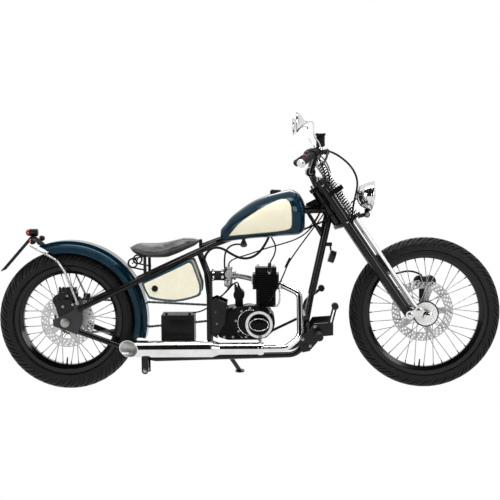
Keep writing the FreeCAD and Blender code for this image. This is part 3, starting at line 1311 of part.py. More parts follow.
def headlamp():
    """The lamp's bowl behind its rim, on a bracket from the low yoke."""
    dip = FreeCAD.Rotation(Y_AXIS, d.lamp_dip_angle)
    aim = FORK.Rotation.inverted().multVec(dip.multVec(X_AXIS))
    front = fork_local(V(d.lamp_x, 0, d.lamp_z))
    back = front - aim * d.lamp_depth
    bowl = Part.makeCone(d.lamp_back, d.lamp_radius - d.lamp_rim / 2, d.lamp_depth - d.lamp_rim, back, aim)
    rim_ring = rod(front - aim * d.lamp_rim, front, d.lamp_radius)
    wall = d.lamp_wall
    inside = d.lamp_radius - d.lamp_rim / 2 - wall
    room = Part.makeCone(d.lamp_back - wall, inside, d.lamp_depth - d.lamp_rim - wall, back + aim * wall, aim)
    glass = rod(front - aim * d.lamp_rim, front - aim * wall, inside)
    foot = V(d.yoke_middle, 0, -d.low_yoke - d.yoke_wall / 2)
    stay = rod(foot, front - aim * (d.lamp_depth / 2), d.stand_radius)
    shell = fused([bowl, rim_ring, stay]).cut(yokes_shape).cut(room)
    opening = rod(front - aim * d.lamp_rim, front + aim * wall, inside)
    return biggest(shell.cut(opening)), glass


lamp_shell, lamp_glass = headlamp()
feature("headlamp", lamp_shell, FORK)
feature("lamp_lens", lamp_glass, FORK)


def caliper(across, side, radius, outward, drop):
    """A two-piston caliper over a disc's top edge, drawn from the wheel's centre."""
    inner_face = side + outward * d.disc_room
    outer_face = inner_face + outward * d.caliper_wall
    pair_z = radius - drop
    shapes = []
    for shift in (-1, 1):
        place = V(across + d.piston_shift * shift, inner_face, pair_z)
        back = V(place.x, outer_face, pair_z)
        shapes.append(rod(place, back, d.caliper_round))
        shapes.append(rod(place, back + Y_AXIS * outward * d.piston_lift, d.piston_radius))
    pad_near, pad_far = side - outward * d.disc_room, side - outward * (d.disc_room + d.pad_wall)
    low = [(inner_face, outer_face, pair_z - d.caliper_round), (pad_far, pad_near, pair_z),
           (pad_far, outer_face, radius + d.disc_room)]
    top = radius + d.disc_room + d.pad_wall
    for near, far, foot in low:
        near, far = min(near, far), max(near, far)
        shapes.append(block(V(across - d.piston_shift, near, foot), V(across + d.piston_shift, far, top)))
    slot = rod(V(0, side - d.disc_room, 0), V(0, side + d.disc_room, 0), radius + d.disc_room)
    return fused(shapes).cut(slot)


def front_brake():
    """The front caliper, on an arm that hangs from the axle."""
    shell = caliper(d.front_caliper_x, d.front_disc_side, d.front_disc, 1, d.front_piston_drop)
    inner = d.front_hub_half + d.moving_gap
    top = d.front_disc - d.front_piston_drop
    arm = block(V(-d.spacer_radius, inner, 0), V(d.spacer_radius, inner + d.arm_wall, top))
    eye = rod(V(0, inner, 0), V(0, inner + d.arm_wall, 0), d.spacer_radius * 2)
    hole = rod(V(0, 0, 0), V(0, d.rocker_side, 0), d.spacer_radius + d.seat_gap)
    return fused([shell, arm, eye]).cut(hole)


brake_shape = front_brake()
brake_shape.translate(front_axle)
brake_shape = brake_shape.transformGeometry(FORK.inverse().toMatrix())
feature("front_caliper", biggest(brake_shape.cut(leg_shape).cut(rod_shape)), FORK)

# Corners of the rear caliper's carrier, as shares of the disc's radius, from the axle.
CARRIER_SHARES = [(-0.16, -0.12), (0.16, -0.12), (0.3, 0.34), (0.36, 0.66), (0.2, 0.84), (-0.3, 0.84),
                  (-0.42, 0.7), (-0.3, 0.34)]


def rear_brake():
    """The rear caliper over the disc on the right, with its carrier plate on the axle's spacer."""
    shell = caliper(-d.caliper_x, -d.rear_disc_side, d.rear_disc, -1, d.rear_piston_drop)
    near = d.seat_gap + d.plate_wall / 2 - d.tail_half
    carrier = prism([(d.rear_disc * x, d.rear_disc * z) for x, z in CARRIER_SHARES], near, d.arm_wall)
    bolts = []
    for shift in (-1, 1):
        x, z = d.piston_shift * shift - d.caliper_x, d.rear_disc - d.rear_piston_drop
        inner_end = V(x, -d.rear_disc_side - d.disc_room - d.pad_wall, z)
        bolts.append(rod(V(x, near, z), inner_end, d.piston_radius / 2))
    hole = rod(V(0, 0, 0), V(0, -d.tail_half, 0), d.spacer_radius + d.seat_gap)
    return fused([shell, carrier] + bolts).cut(hole)


rear_brake_shape = rear_brake()
feature("rear_caliper", rear_brake_shape, wheel_place(rear_axle))


# Foot controls ahead of the engine, horn, battery and side boxes.
# Corners of the control plate as shares of its length and height, from its low rear corner.
CONTROL_SHARES = [(0.14, 0.0), (0.34, 0.05), (0.7, 0.54), (1.0, 0.57), (1.0, 1.0), (0.47, 0.96), (0.34, 0.72),
                  (0.12, 0.58), (0.0, 0.31)]


def foot_control():
    """A plate outside the cradle's front bend, with a peg, a pivot and a lug to the rail."""
    near = d.control_half - d.control_wall / 2
    corners = []
    for x, z in CONTROL_SHARES:
        corners.append((d.control_x + d.control_long * x, d.control_z + d.control_tall * z))
    body = prism(corners, near, d.control_wall)
    peg_start = V(d.peg_x, near, d.peg_z)
    peg = rod(peg_start, peg_start + Y_AXIS * (d.peg_length + d.control_wall), d.peg_radius)
    pivot_start = V(d.control_pivot_x, d.rail_half, d.control_pivot_z)
    pivot_end = V(d.control_pivot_x, near + d.control_wall + d.arm_wall, d.control_pivot_z)
    barrel = rod(pivot_start, pivot_end, d.pad_radius)
    return biggest(fused([body, peg, barrel]).cut(rail_shape).cut(down_shape))


control_shape = foot_control()
feature("foot_controls", pair(control_shape))


def pad(end):
    """A round rubber pad across the bike."""
    return rod(end - Y_AXIS * d.pad_radius, end + Y_AXIS * d.pad_radius, d.pad_radius)


def brake_pedal():
    """The right pedal: two slim rails from the plate's top up to the pad."""
    face = d.control_half + d.control_wall / 2
    end = V(d.pad_x, d.pad_half, d.pad_z)
    foot = V(d.control_x + d.control_long - d.pad_radius, face, d.control_z + d.control_tall - d.pad_radius)
    shapes = [pad(end), rod(foot, foot + Y_AXIS * d.arm_radius * 2, d.pad_radius)]
    for shift in (-1, 1):
        aside = X_AXIS * d.arm_radius * shift
        shapes.append(rod(foot + aside, end + aside, d.rail_slim))
    return biggest(fused(shapes).cut(control_shape))


def shift_pedal():
    """The left lever: up from the plate, then forward to its toe pad."""
    face = d.control_half + d.control_wall / 2 + d.arm_radius
    end = V(d.toe_x, d.pad_half, d.toe_z)
    foot = V(d.control_pivot_x + d.pad_radius, face, d.control_z + d.control_tall / 2)
    knee = V(d.toe_knee_x, face, d.toe_knee_z)
    lever = tube([foot, knee, end], d.arm_radius, [d.strut_bend])
    boss = rod(foot - Y_AXIS * d.arm_radius * 2, foot + Y_AXIS * d.arm_radius, d.pad_radius)
    return biggest(fused([pad(end), lever, boss]).cut(control_shape))


feature("pedals", Part.makeCompound([mirrored(brake_pedal()), shift_pedal()]))


def horn():
    """A round horn that hangs by a strap from a knob on the down tube."""
    aim = V(cosine(d.horn_dip_angle), 0, -sine(d.horn_dip_angle))
    middle = V(d.horn_x, 0, d.horn_z)
    disc_shape = rod(middle - aim * (d.horn_depth / 2), middle + aim * (d.horn_depth / 2), d.horn_radius)
    knob_end = V(d.horn_x, 0, d.knob_z)
    knob = rod(V(down_x(d.knob_z), 0, d.knob_z), knob_end, d.knob_radius)
    strap = rod(knob_end - X_AXIS * d.knob_radius, middle, d.rail_slim)
    return biggest(fused([disc_shape, knob, strap]).cut(down_shape))


feature("horn", horn())
battery = block(V(d.battery_back, -d.battery_half, d.battery_low),
                V(d.battery_front, d.battery_half, d.battery_top))
tray = block(V(d.battery_back, -d.rail_half, d.rail_rear_z),
             V(d.battery_front, d.rail_half, d.rail_rear_z + d.tray_wall))
pedestal = block(V(d.battery_back, -d.battery_half / 2, d.rail_rear_z),
                 V(d.battery_front, d.battery_half / 2, d.battery_low))
battery = fused([battery, tray, pedestal]).cut(rail_shape).cut(mirrored(rail_shape))
feature("battery", biggest(battery))

BOX_SHARES = [(0.0, 0.48), (0.08, 0.18), (0.52, 0.0), (0.96, 0.16), (1.0, 0.4), (0.86, 1.0)]


def side_box():
    """One side cover of the battery space, under the upper stay."""
    corners = [(d.box_back + d.box_long * x, d.box_low + d.box_tall * z) for x, z in BOX_SHARES]
    shape = prism(corners, d.box_half, d.box_wall)
    return biggest(shape.cut(stay_shape).cut(post_shape).cut(rail_shape))


feature("side_boxes", pair(side_box()))

# Side stand on the left rail, its foot flat on the floor.
pivot = stand_start + stand_axis * (d.stand_lug + d.seat_gap)
foot_y = pivot.y + d.stand_out
foot_low = V(pivot.x + d.stand_reach, foot_y, foot_y * math.tan(math.radians(d.lean_angle)))
floor_up = V(0, -sine(d.lean_angle), cosine(d.lean_angle))


def stand():
    """The leg with its hinge barrel and its flat foot."""
    start = pivot + stand_axis * d.stand_pivot
    sole = rod(foot_low, foot_low + floor_up * d.foot_wall, d.foot_radius)
    leg = rod(start, foot_low + floor_up * (d.foot_wall / 2), d.stand_radius)
    barrel = rod(pivot, pivot + stand_axis * d.stand_pivot * 2, d.stand_pivot)
    below = block(V(-d.wheelbase, -d.wheelbase, -d.wheelbase), V(d.wheelbase, d.wheelbase, 0))
    below.rotate(V(0, 0, 0), X_AXIS, d.lean_angle)
    return fused([sole, leg, barrel]).cut(below)


feature("side_stand", stand())

doc.recompute()
broken = [item.Name for item in doc.Objects if "Invalid" in item.State or "Error" in item.State]
if broken:
    raise RuntimeError(f"these objects failed: {broken}")
for item in nodes:
    if item.Shape.isNull() or not item.Shape.isValid():
        raise RuntimeError(f"{item.Label} has no valid shape")
os.makedirs("parts", exist_ok=True)
for item in nodes:
    item.Shape.exportStep(f"parts/{item.Label}.step")
print(f"{len(nodes)} pieces written")
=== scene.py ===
"""Chopper motorcycle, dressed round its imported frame.

Lengths are millimetres in the bike's own upright frame: X runs forward from the rear axle, Y to the
rider's left and Z up from the floor. Every finished piece is leaned over with the bike and put in metres.
"""
import bpy
import json
from math import asin, atan2, cos, hypot, pi, radians, sin, sqrt, tau
from mathutils import Matrix, Vector


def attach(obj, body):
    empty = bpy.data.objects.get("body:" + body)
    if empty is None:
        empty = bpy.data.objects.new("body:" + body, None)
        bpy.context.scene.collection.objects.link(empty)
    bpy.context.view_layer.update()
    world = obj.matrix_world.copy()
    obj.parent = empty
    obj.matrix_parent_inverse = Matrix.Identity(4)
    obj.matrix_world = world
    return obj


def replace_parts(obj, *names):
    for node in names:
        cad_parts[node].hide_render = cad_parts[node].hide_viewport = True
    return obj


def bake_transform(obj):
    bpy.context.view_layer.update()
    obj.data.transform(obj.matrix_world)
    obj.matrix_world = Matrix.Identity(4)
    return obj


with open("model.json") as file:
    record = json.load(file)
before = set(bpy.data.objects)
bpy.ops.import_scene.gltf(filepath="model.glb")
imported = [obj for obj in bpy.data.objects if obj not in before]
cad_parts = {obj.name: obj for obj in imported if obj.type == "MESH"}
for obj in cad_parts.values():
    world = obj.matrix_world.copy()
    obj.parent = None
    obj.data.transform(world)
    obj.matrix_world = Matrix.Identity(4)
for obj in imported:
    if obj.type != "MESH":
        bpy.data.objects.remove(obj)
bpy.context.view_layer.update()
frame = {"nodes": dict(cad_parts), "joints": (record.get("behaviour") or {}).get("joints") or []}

# Frame tubes: seamless steel tube, welded, powder coated in gloss black. The coat has a faint
# orange peel, a sharp highlight along each tube and a little dust on its upper sides.
AHEAD, BACK, LEFT, RIGHT, UP, DOWN = (1, 0, 0), (-1, 0, 0), (0, 1, 0), (0, -1, 0), (0, 0, 1), (0, 0, -1)
FRONT_AXLE, REAR_AXLE = Vector((1600, 0, 338.93)), Vector((0, 0, 317.06))
LEAN_ANGLE = radians(8)
joint_places = {joint["name"]: Vector(joint["pos_m"]) for joint in frame["joints"]}
lean = Matrix.Rotation(-LEAN_ANGLE, 4, "X")
shift = joint_places["rear_wheel_spin"] - lean @ (REAR_AXLE / 1000)
BIKE = Matrix.Translation(shift) @ lean @ Matrix.Scale(0.001, 4)


def linear(code):
    """An sRGB hex colour as the linear colour that shaders take."""
    parts = [int(code[i:i + 2], 16) / 255 for i in (0, 2, 4)]
    curve = [c / 12.92 if c <= 0.04045 else ((c + 0.055) / 1.055) ** 2.4 for c in parts]
    return (*curve, 1.0)


def add(tree, kind, settings=None, links=None):
    """One shader node with its settings and what feeds its sockets."""
    node = tree.nodes.new(kind)
    for key, value in (settings or {}).items():
        if isinstance(key, int) or key in node.inputs:
            node.inputs[key].default_value = value
        else:
            setattr(node, key, value)
    for key, source in (links or {}).items():
        tree.links.new(source, node.inputs[key])
    return node


def finish(name, colour, worn, metal=0.0, rough=(0.3, 0.4), patch=40, grain=1.0, relief=0.0, coat=0.0,
           shine=0.5, extra=None):
    """A surface with soft patches of its worn colour, uneven gloss and a fine relief, sizes in mm."""
    made = bpy.data.materials.new(name)
    made.use_nodes = True
    tree = made.node_tree
    shader = tree.nodes["Principled BSDF"]
    place = add(tree, "ShaderNodeTexCoord").outputs["Object"]
    patches = add(tree, "ShaderNodeTexNoise", {"Scale": 1000 / patch, "Detail": 4.0, "Roughness": 0.6},
                  {"Vector": place}).outputs["Fac"]
    spread = add(tree, "ShaderNodeMapRange", {"From Min": 0.35, "From Max": 0.75}, {0: patches})
    tint = add(tree, "ShaderNodeMix", {"data_type": "RGBA", 6: linear(colour), 7: linear(worn)},
               {0: spread.outputs[0]})
    gloss = add(tree, "ShaderNodeMapRange", {"To Min": rough[0], "To Max": rough[1]}, {0: patches})
    tree.links.new(tint.outputs[2], shader.inputs["Base Color"])
    tree.links.new(gloss.outputs[0], shader.inputs["Roughness"])
    shader.inputs["Metallic"].default_value = metal
    shader.inputs["Specular IOR Level"].default_value = shine
    if coat:
        shader.inputs["Coat Weight"].default_value = coat
        shader.inputs["Coat Roughness"].default_value = 0.04
    if relief:
        fine = add(tree, "ShaderNodeTexNoise", {"Scale": 1000 / grain, "Detail": 2.0}, {"Vector": place})
        bump = add(tree, "ShaderNodeBump", {"Strength": 0.6, "Distance": relief / 1000},
                   {"Height": fine.outputs["Fac"]})
        tree.links.new(bump.outputs["Normal"], shader.inputs["Normal"])
    if extra:
        extra(tree, shader, place)
    return made


def dress(material, *names):
    """Give CAD nodes their finish."""
    for node_name in names:
        materials = frame["nodes"][node_name].data.materials
        materials.clear()
        materials.append(material)


# Baked powder flows out thick and glossy, so each tube carries one soft, faintly rippled highlight.
black_powder = finish("gloss_black_powder_coat", "050506", "0b0b0c", rough=(0.16, 0.28), patch=90,
                      grain=2.2, relief=0.03, coat=0.05, shine=0.28)
dress(black_powder, "frame_spine", "frame_downtube", "frame_cradle_left", "frame_cradle_right", "frame_stays",
      "frame_seat_tubes", "engine_mounts", "seat_mounts", "muffler_bracket", "side_stand", "foot_controls")
# Satin paint scatters its highlight; the plates' grey base colour is painted sheen beside the gloss tubes.
plate_paint_painted_sheen = finish("satin_black_paint_painted_grey_sheen", "2e2e30", "353537", rough=(0.45, 0.6), patch=30, shine=0.3)
dress(plate_paint_painted_sheen, "axle_plates")

# Wheels: black enamelled steel rims laced with polished stainless spokes to cast aluminium hubs.
# The ground steel discs keep fine circular scratches that break their highlight into a fan.
# Enamel dries hard and even, with a thin, sharp line of light round the rim.
rim_enamel = finish("black_rim_enamel", "050506", "0c0c0d", rough=(0.12, 0.22), patch=120, coat=0.1,
                    shine=0.3)
# A buffed casting is pale and keeps a faint cloudy grain.
hub_alloy = finish("polished_cast_hub_alloy", "a6a7a8", "8d8e90", metal=0.85, rough=(0.26, 0.4), patch=18,
                   grain=1.5, relief=0.02)
disc_steel = finish("ground_stainless_disc", "d4d4d2", "bcbdbe", metal=0.8, rough=(0.36, 0.48), patch=10,
                    grain=0.8, relief=0.02)
dress(rim_enamel, "front_rim", "rear_rim")
dress(hub_alloy, "front_hub", "rear_hub")
dress(disc_steel, "front_disc", "rear_disc", "rear_sprocket", "drive_sprocket")


def bare():
    """Object mode with nothing selected."""
    if bpy.context.object and bpy.context.object.mode != "OBJECT":
        bpy.ops.object.mode_set(mode="OBJECT")
    bpy.ops.object.select_all(action="DESELECT")


def only(piece):
    """Select one piece and make it active."""
    bare()
    piece.select_set(True)
    bpy.context.view_layer.objects.active = piece
    return piece


def placed(name, data):
    """A new object in the scene."""
    holder = bpy.data.objects.new(name, data)
    bpy.context.scene.collection.objects.link(holder)
    return holder


def from_points(points, edges=(), faces=()):
    """A loose piece from its corners."""
    mesh = bpy.data.meshes.new("blank")
    mesh.from_pydata(points, edges, faces)
    return only(placed("blank", mesh))


def edited(piece, *steps):
    """Edit-mode operators, each with its settings, on the whole piece."""
    only(piece)
    bpy.ops.object.mode_set(mode="EDIT")
    for operator, settings in steps:
        bpy.ops.mesh.select_all(action="SELECT")
        operator(**settings)
    bpy.ops.object.mode_set(mode="OBJECT")
    return piece


FACE_OUT = (bpy.ops.mesh.normals_make_consistent, {"inside": False})


def closed_up(piece, gap=0.01):
    """Merge doubled corners and turn the faces outwards."""
    return edited(piece, (bpy.ops.mesh.remove_doubles, {"threshold": gap}), FACE_OUT)


def prism(outline, move):
    """A flat outline drawn out into a solid."""
    return edited(from_points(outline, (), [tuple(range(len(outline)))]),
                  (bpy.ops.mesh.extrude_region_move, {"TRANSFORM_OT_translate": {"value": move}}), FACE_OUT)


def lathe(profile, middle, axis=LEFT, steps=48, loop=False):
    """A form turned about an axis through its middle: profile corners are (radius, along)."""
    axis, middle = Vector(axis).normalized(), Vector(middle)
    side = axis.cross(Vector(UP))
    side = side.normalized() if side.length > 0.01 else Vector(AHEAD)
    points = [middle + side * reach + axis * along for reach, along in profile]
    edges = [(i, i + 1) for i in range(len(points) - 1)]
    if loop:
        edges.append((len(points) - 1, 0))
    return closed_up(edited(from_points(points, edges), (
        bpy.ops.mesh.spin, {"steps": steps, "angle": tau, "center": middle, "axis": axis})))


def modified(piece, kind, **settings):
    """Add one modifier and apply it."""
    only(piece)
    modifier = piece.modifiers.new(kind.lower(), kind)
    for key, value in settings.items():
        setattr(modifier, key, value)
    bpy.ops.object.modifier_apply(modifier=modifier.name)
    return piece


def soften(piece, width, steps=2, angle=35):
    """Round the sharp edges."""
    return modified(piece, "BEVEL", width=width, segments=steps, limit_method="ANGLE",
                    angle_limit=radians(angle))


def joined(pieces):
    """Several pieces as one."""
    bare()
    for piece in pieces:
        piece.select_set(True)
    bpy.context.view_layer.objects.active = pieces[0]
    if len(pieces) > 1:
        bpy.ops.object.join()
    return bpy.context.object


def copied(piece, place):
    """A copy with its own mesh, put in place by a matrix."""
    mesh = piece.data.copy()
    mesh.transform(place)
    return placed("copy", mesh)


def dropped(piece):
    """Take away a pattern piece that was only copied from."""
    bpy.data.objects.remove(piece, do_unlink=True)


def aimed(place, axis):
    """The frame at a place whose Z runs along an axis."""
    return Matrix.Translation(place) @ Vector(axis).to_track_quat("Z", "Y").to_matrix().to_4x4()


def settle(piece, name, material, body="chassis", angle=40):
    """Lean a finished piece, or a list joined, with the bike, name it and let it ride on its body."""
    if isinstance(piece, list):
        piece = joined(piece)
    bpy.context.view_layer.update()
    only(piece)
    piece.data.transform(BIKE @ piece.matrix_world)
    piece.matrix_world = Matrix.Identity(4)
    piece.name = piece.data.name = name
    piece.data.materials.append(material)
    bpy.ops.object.shade_smooth_by_angle(angle=radians(angle))
    if body:
        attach(piece, body)
    return piece


def bar(start, end, radius, steps=20, soft=0.0):
    """A round bar between two places."""
    bare()
    start, end = Vector(start), Vector(end)
    run = end - start
    bpy.ops.mesh.primitive_cone_add(vertices=steps, radius1=radius, radius2=radius, depth=run.length)
    piece = bpy.context.object
    if soft:
        soften(piece, soft)
    piece.data.transform(aimed((start + end) / 2, run))
    return piece


# Tyres: moulded rubber with slanted tread grooves that meet in arrows, a rib on each sidewall and
# a bead seated against the rim. The flanks carry a faint moulding bloom and road dust.
rubber = finish("moulded_tyre_rubber", "0f0f10", "19191a", rough=(0.42, 0.6), patch=25, grain=1.2,
                relief=0.05, shine=0.22)
RIM_WALL, BEAD_GAP, FLANGE = 4, 0.3, 13
FRONT_BEAD, REAR_BEAD = 266.7, 228.6
TREAD_EDGE = radians(78)
GROOVE_DEEP, CHEVRON, PITCH_COLUMNS, TREAD_ROWS = 5, 9, 8, 26


def tyre(name, body, middle, radius, crown, bead, rim_half, pitches):
    """A tread grid rolled round the axle, its grooves pressed in, between two turned walls."""
    columns = pitches * PITCH_COLUMNS
    core = radius - crown
    bare()
    bpy.ops.mesh.primitive_grid_add(x_subdivisions=columns, y_subdivisions=TREAD_ROWS, size=2)
    tread = bpy.context.object
    grooves = []
    for face in tread.data.polygons:
        column = int((face.center.x + 1) / 2 * columns) % PITCH_COLUMNS
        across = abs(face.center.y)
        long_groove = column in (0, 1) and 0.1 < across < 0.97
        shoulder_groove = column == 4 and 0.52 < across < 0.97
        short_groove = column == 5 and 0.02 < across < 0.42
        if long_groove or shoulder_groove or short_groove:
            grooves.append(face.index)
    for vertex in tread.data.vertices:
        across = vertex.co.y
        turn = tau * ((vertex.co.x + 1) / 2 + CHEVRON * abs(across) ** 1.3 / columns)
        tilt = across * TREAD_EDGE
        reach = core + crown * cos(tilt)
        vertex.co = (reach * cos(turn), crown * sin(tilt), reach * sin(turn))
    edited(tread, FACE_OUT)
    bpy.ops.object.mode_set(mode="EDIT")
    bpy.ops.mesh.select_all(action="DESELECT")
    bpy.ops.object.mode_set(mode="OBJECT")
    outward = tread.data.polygons[0].normal.dot(tread.data.polygons[0].center) > 0
    for index in grooves:
        tread.data.polygons[index].select = True
    bpy.ops.object.mode_set(mode="EDIT")
    bpy.ops.mesh.select_mode(type="FACE")
    bpy.ops.mesh.extrude_region_shrink_fatten(
        TRANSFORM_OT_shrink_fatten={"value": -GROOVE_DEEP if outward else GROOVE_DEEP})
    bpy.ops.object.mode_set(mode="OBJECT")
    inside = rim_half - RIM_WALL - BEAD_GAP
    flange = bead + FLANGE
    flank = [
        (core + crown * cos(TREAD_EDGE), crown * sin(TREAD_EDGE)),
        (core + crown * 0.1, crown * 0.995), (core + crown * 0.06, crown - 1),
        (core, crown - 0.4), (core - 6, crown - 0.4), (core - 7, crown + 0.4), (core - 10, crown + 0.4),
        (core - 11, crown - 1), ((core + flange) / 2, crown * 0.45 + (inside + 4) * 0.55),
        (flange + 6, inside + 3), (flange + 2, inside), (bead + BEAD_GAP, inside),
    ]
    walls = lathe(flank + [(reach, -side) for reach, side in reversed(flank)], (0, 0, 0), steps=columns)
    piece = closed_up(joined([tread, walls]), gap=0.05)
    piece.location = middle
    return settle(piece, name, rubber, body, angle=30)


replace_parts(tyre("front_tyre_dressed", "front_wheel", FRONT_AXLE, 338.5, 44, FRONT_BEAD, 30, 44),
            "front_tyre")
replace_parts(tyre("rear_tyre_dressed", "rear_wheel", REAR_AXLE, 316.5, 57, REAR_BEAD, 42, 40), "rear_tyre")

# Spoke nipples and valves: blackened brass caps that pull each spoke into the rim's well, and
# one rubber valve with a metal cap in each rim.
# Blackened brass is dull, with a warm glint at its edges.
black_brass = finish("blackened_brass", "0c0c0d", "1b1a18", metal=0.5, rough=(0.3, 0.45), patch=6)
# Moulded rubber has a dull, even skin with a grey sheen.
moulded_rubber = finish("black_moulded_rubber", "101011", "19191a", rough=(0.5, 0.65), patch=14, grain=0.9,
                        shine=0.3, relief=0.03)
SPOKE_COUNT, SPOKE_LEAN, FLANGE_HALF, RIM_WELL = 36, radians(58), 34, 21.8
SPOKE_OFFSET, SPOKE_SPREAD, HUB_RING, VALVE_TURN = 3.6, 3, 34.6, radians(95)


def nipples(name, body, middle, reach):
    """One cap at the outer end of every spoke, in line with it, and the valve."""
    caps = []
    pattern = lathe([(0, 0), (2.9, 0), (3.1, 3), (2.4, 4), (2.3, 12), (1.7, 13), (0, 13)], (0, 0, 0), UP, 8)
    for index in range(SPOKE_COUNT):
        side = 1 if index % 2 else -1
        lead = 1 if (index // 2) % 2 == 0 else -1
        rim_turn = tau * index / SPOKE_COUNT
        offset = SPOKE_OFFSET * lead
        near = Matrix.Rotation(rim_turn - SPOKE_LEAN * lead, 4, "Y") @ Vector(
            (HUB_RING, side * (FLANGE_HALF + offset), 0))
        far = Matrix.Rotation(rim_turn, 4, "Y") @ Vector((reach, side * (SPOKE_SPREAD + offset / 2), 0))
        caps.append(copied(pattern, aimed(middle + far, near - far)))
    valve = lathe([(0, 0), (6, 0), (6, 3), (4, 5), (4, 20), (3, 22), (3, 32), (0, 32)], (0, 0, 0), UP, 12)
    spot = Matrix.Rotation(VALVE_TURN, 4, "Y") @ Vector((reach + 2, 0, 0))
    caps.append(copied(valve, aimed(middle + spot, -spot)))
    dropped(pattern)
    dropped(valve)
    settle(caps, name, black_brass, body)


nipples("front_nipples", "front_wheel", FRONT_AXLE, FRONT_BEAD - RIM_WELL)
nipples("rear_nipples", "rear_wheel", REAR_AXLE, REAR_BEAD - RIM_WELL)

# Front hub: a polished cover on the right of the hub over a black dust ring, and ground brake discs
# cut from plate with a drilled band, open windows and a five-armed carrier.
dust_ring = lathe([(51, 0), (57, 0), (58, 1.5), (58, 7), (57, 8), (51, 8)], FRONT_AXLE - Vector((0, 50.5, 0)),
                  RIGHT, 72, loop=True)
settle(dust_ring, "hub_dust_ring", rim_enamel, "front_wheel")
# Buffed alloy is nearly white, with a broad soft shine.
bright_alloy = finish("bright_buffed_alloy", "f2f2f0", "e0e0de", metal=0.6, rough=(0.22, 0.34), patch=60)
hub_cap = lathe([(12, 0), (46, 0), (50.5, 1.2), (51.6, 3), (51.8, 6), (12, 6)],
                FRONT_AXLE - Vector((0, 54.8, 0)), RIGHT, 72, loop=True)
settle(hub_cap, "hub_cap", bright_alloy, "front_wheel")
DISC_THICK, DISC_ARMS, CARRIER_BORE, WINDOW_IN, BAND_WIDE = 3.8, 5, 22.4, 40, 37


def disc(name, body, middle, radius, holes):
    """A brake disc across Y: a band with three rows of holes, five arms and a carrier ring."""
    bare()
    bpy.ops.mesh.primitive_cylinder_add(vertices=120, radius=radius, depth=DISC_THICK)
    band = bpy.context.object
    cuts = []
    for ring, hole, lead in ((radius - 8, 4.4, 0), (radius - 18, 4.4, 0.33), (radius - 28, 4.2, 0.66)):
        for k in range(holes):
            x, y = ring * cos(tau * (k + lead) / holes), ring * sin(tau * (k + lead) / holes)
            cuts.append(bar((x, y, -5), (x, y, 5), hole, steps=10))
    inner, outer = WINDOW_IN, radius - BAND_WIDE
    window = [(inner, 0.2), (inner, 0.8), (outer, 0.88), (outer, 0.5), (outer, 0.12)]
    for k in range(DISC_ARMS):
        turns = [(reach, tau * (k + share) / DISC_ARMS) for reach, share in window]
        cuts.append(prism([(reach * cos(turn), reach * sin(turn), -5) for reach, turn in turns], (0, 0, 10)))
    cuts.append(bar((0, 0, -5), (0, 0, 5), CARRIER_BORE, steps=48))
    cutter = joined(cuts)
    modified(band, "BOOLEAN", object=cutter, operation="DIFFERENCE", solver="EXACT")
    dropped(cutter)
    band.data.transform(Matrix.Translation(middle) @ Matrix.Rotation(pi / 2, 4, "X"))
    return settle(band, name, disc_steel, body, angle=30)


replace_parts(disc("front_disc_drilled", "front_wheel", FRONT_AXLE + Vector((0, 56, 0)), 140, 36), "front_disc")
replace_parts(disc("rear_disc_drilled", "rear_wheel", REAR_AXLE - Vector((0, 58, 0)), 120, 30), "rear_disc")

# Spring fork: forged black yokes and legs behind, chromed rods in front, and four chromed coil
# springs wound from round wire round the rods, above and below the fixed perches.
# Chrome plate mirrors the room almost without blur.
chrome = finish("polished_chrome_plate", "e6e6e4", "cfd0d0", metal=1.0, rough=(0.03, 0.09), patch=60)
dress(black_powder, "fork_yokes", "fork_legs")
dress(chrome, "fork_rods", "fork_rockers", "rear_axle")
RAKE = radians(33.8)
FORK = Matrix.Translation((1132.5, 0, 870)) @ Matrix.Rotation(-RAKE, 4, "Y")
LEG_HALF, LEG_AHEAD, ROD_AHEAD = 95, 30, 73
SPRING_RADIUS, SPRING_WIRE, TURN_POINTS = 15.8, 3.1, 12
fork_up = FORK.to_3x3() @ Vector(UP)


def on_fork(x, y, z):
    """A place in the fork's frame as a place of the upright bike."""
    return FORK @ Vector((x, y, z))


def both_sides(piece):
    """The piece, or a list joined, and its mirror image on the other side of the bike."""
    if isinstance(piece, list):
        piece = joined(piece)
    bpy.context.view_layer.update()
    piece.data.transform(piece.matrix_world)
    piece.matrix_world = Matrix.Identity(4)
    twin = copied(piece, Matrix.Diagonal((1, -1, 1, 1)))
    twin.data.flip_normals()
    return joined([piece, twin])


def hose(radius, *lines, order=3, sides=3, parts=6, loop=False):
    """Round hoses, cables or wires along smooth lines through free points."""
    curve = bpy.data.curves.new("hose", "CURVE")
    curve.dimensions = "3D"
    curve.bevel_depth = radius
    curve.bevel_resolution = sides
    curve.use_fill_caps = True
    for points in lines:
        spline = curve.splines.new("NURBS")
        spline.points.add(len(points) - 1)
        for point, spot in zip(spline.points, points):
            point.co = (*spot, 1)
        spline.order_u = min(order, len(points))
        spline.use_endpoint_u = not loop
        spline.use_cyclic_u = loop
        spline.resolution_u = parts
    only(placed("hose", curve))
    bpy.ops.object.convert(target="MESH")
    return bpy.context.object


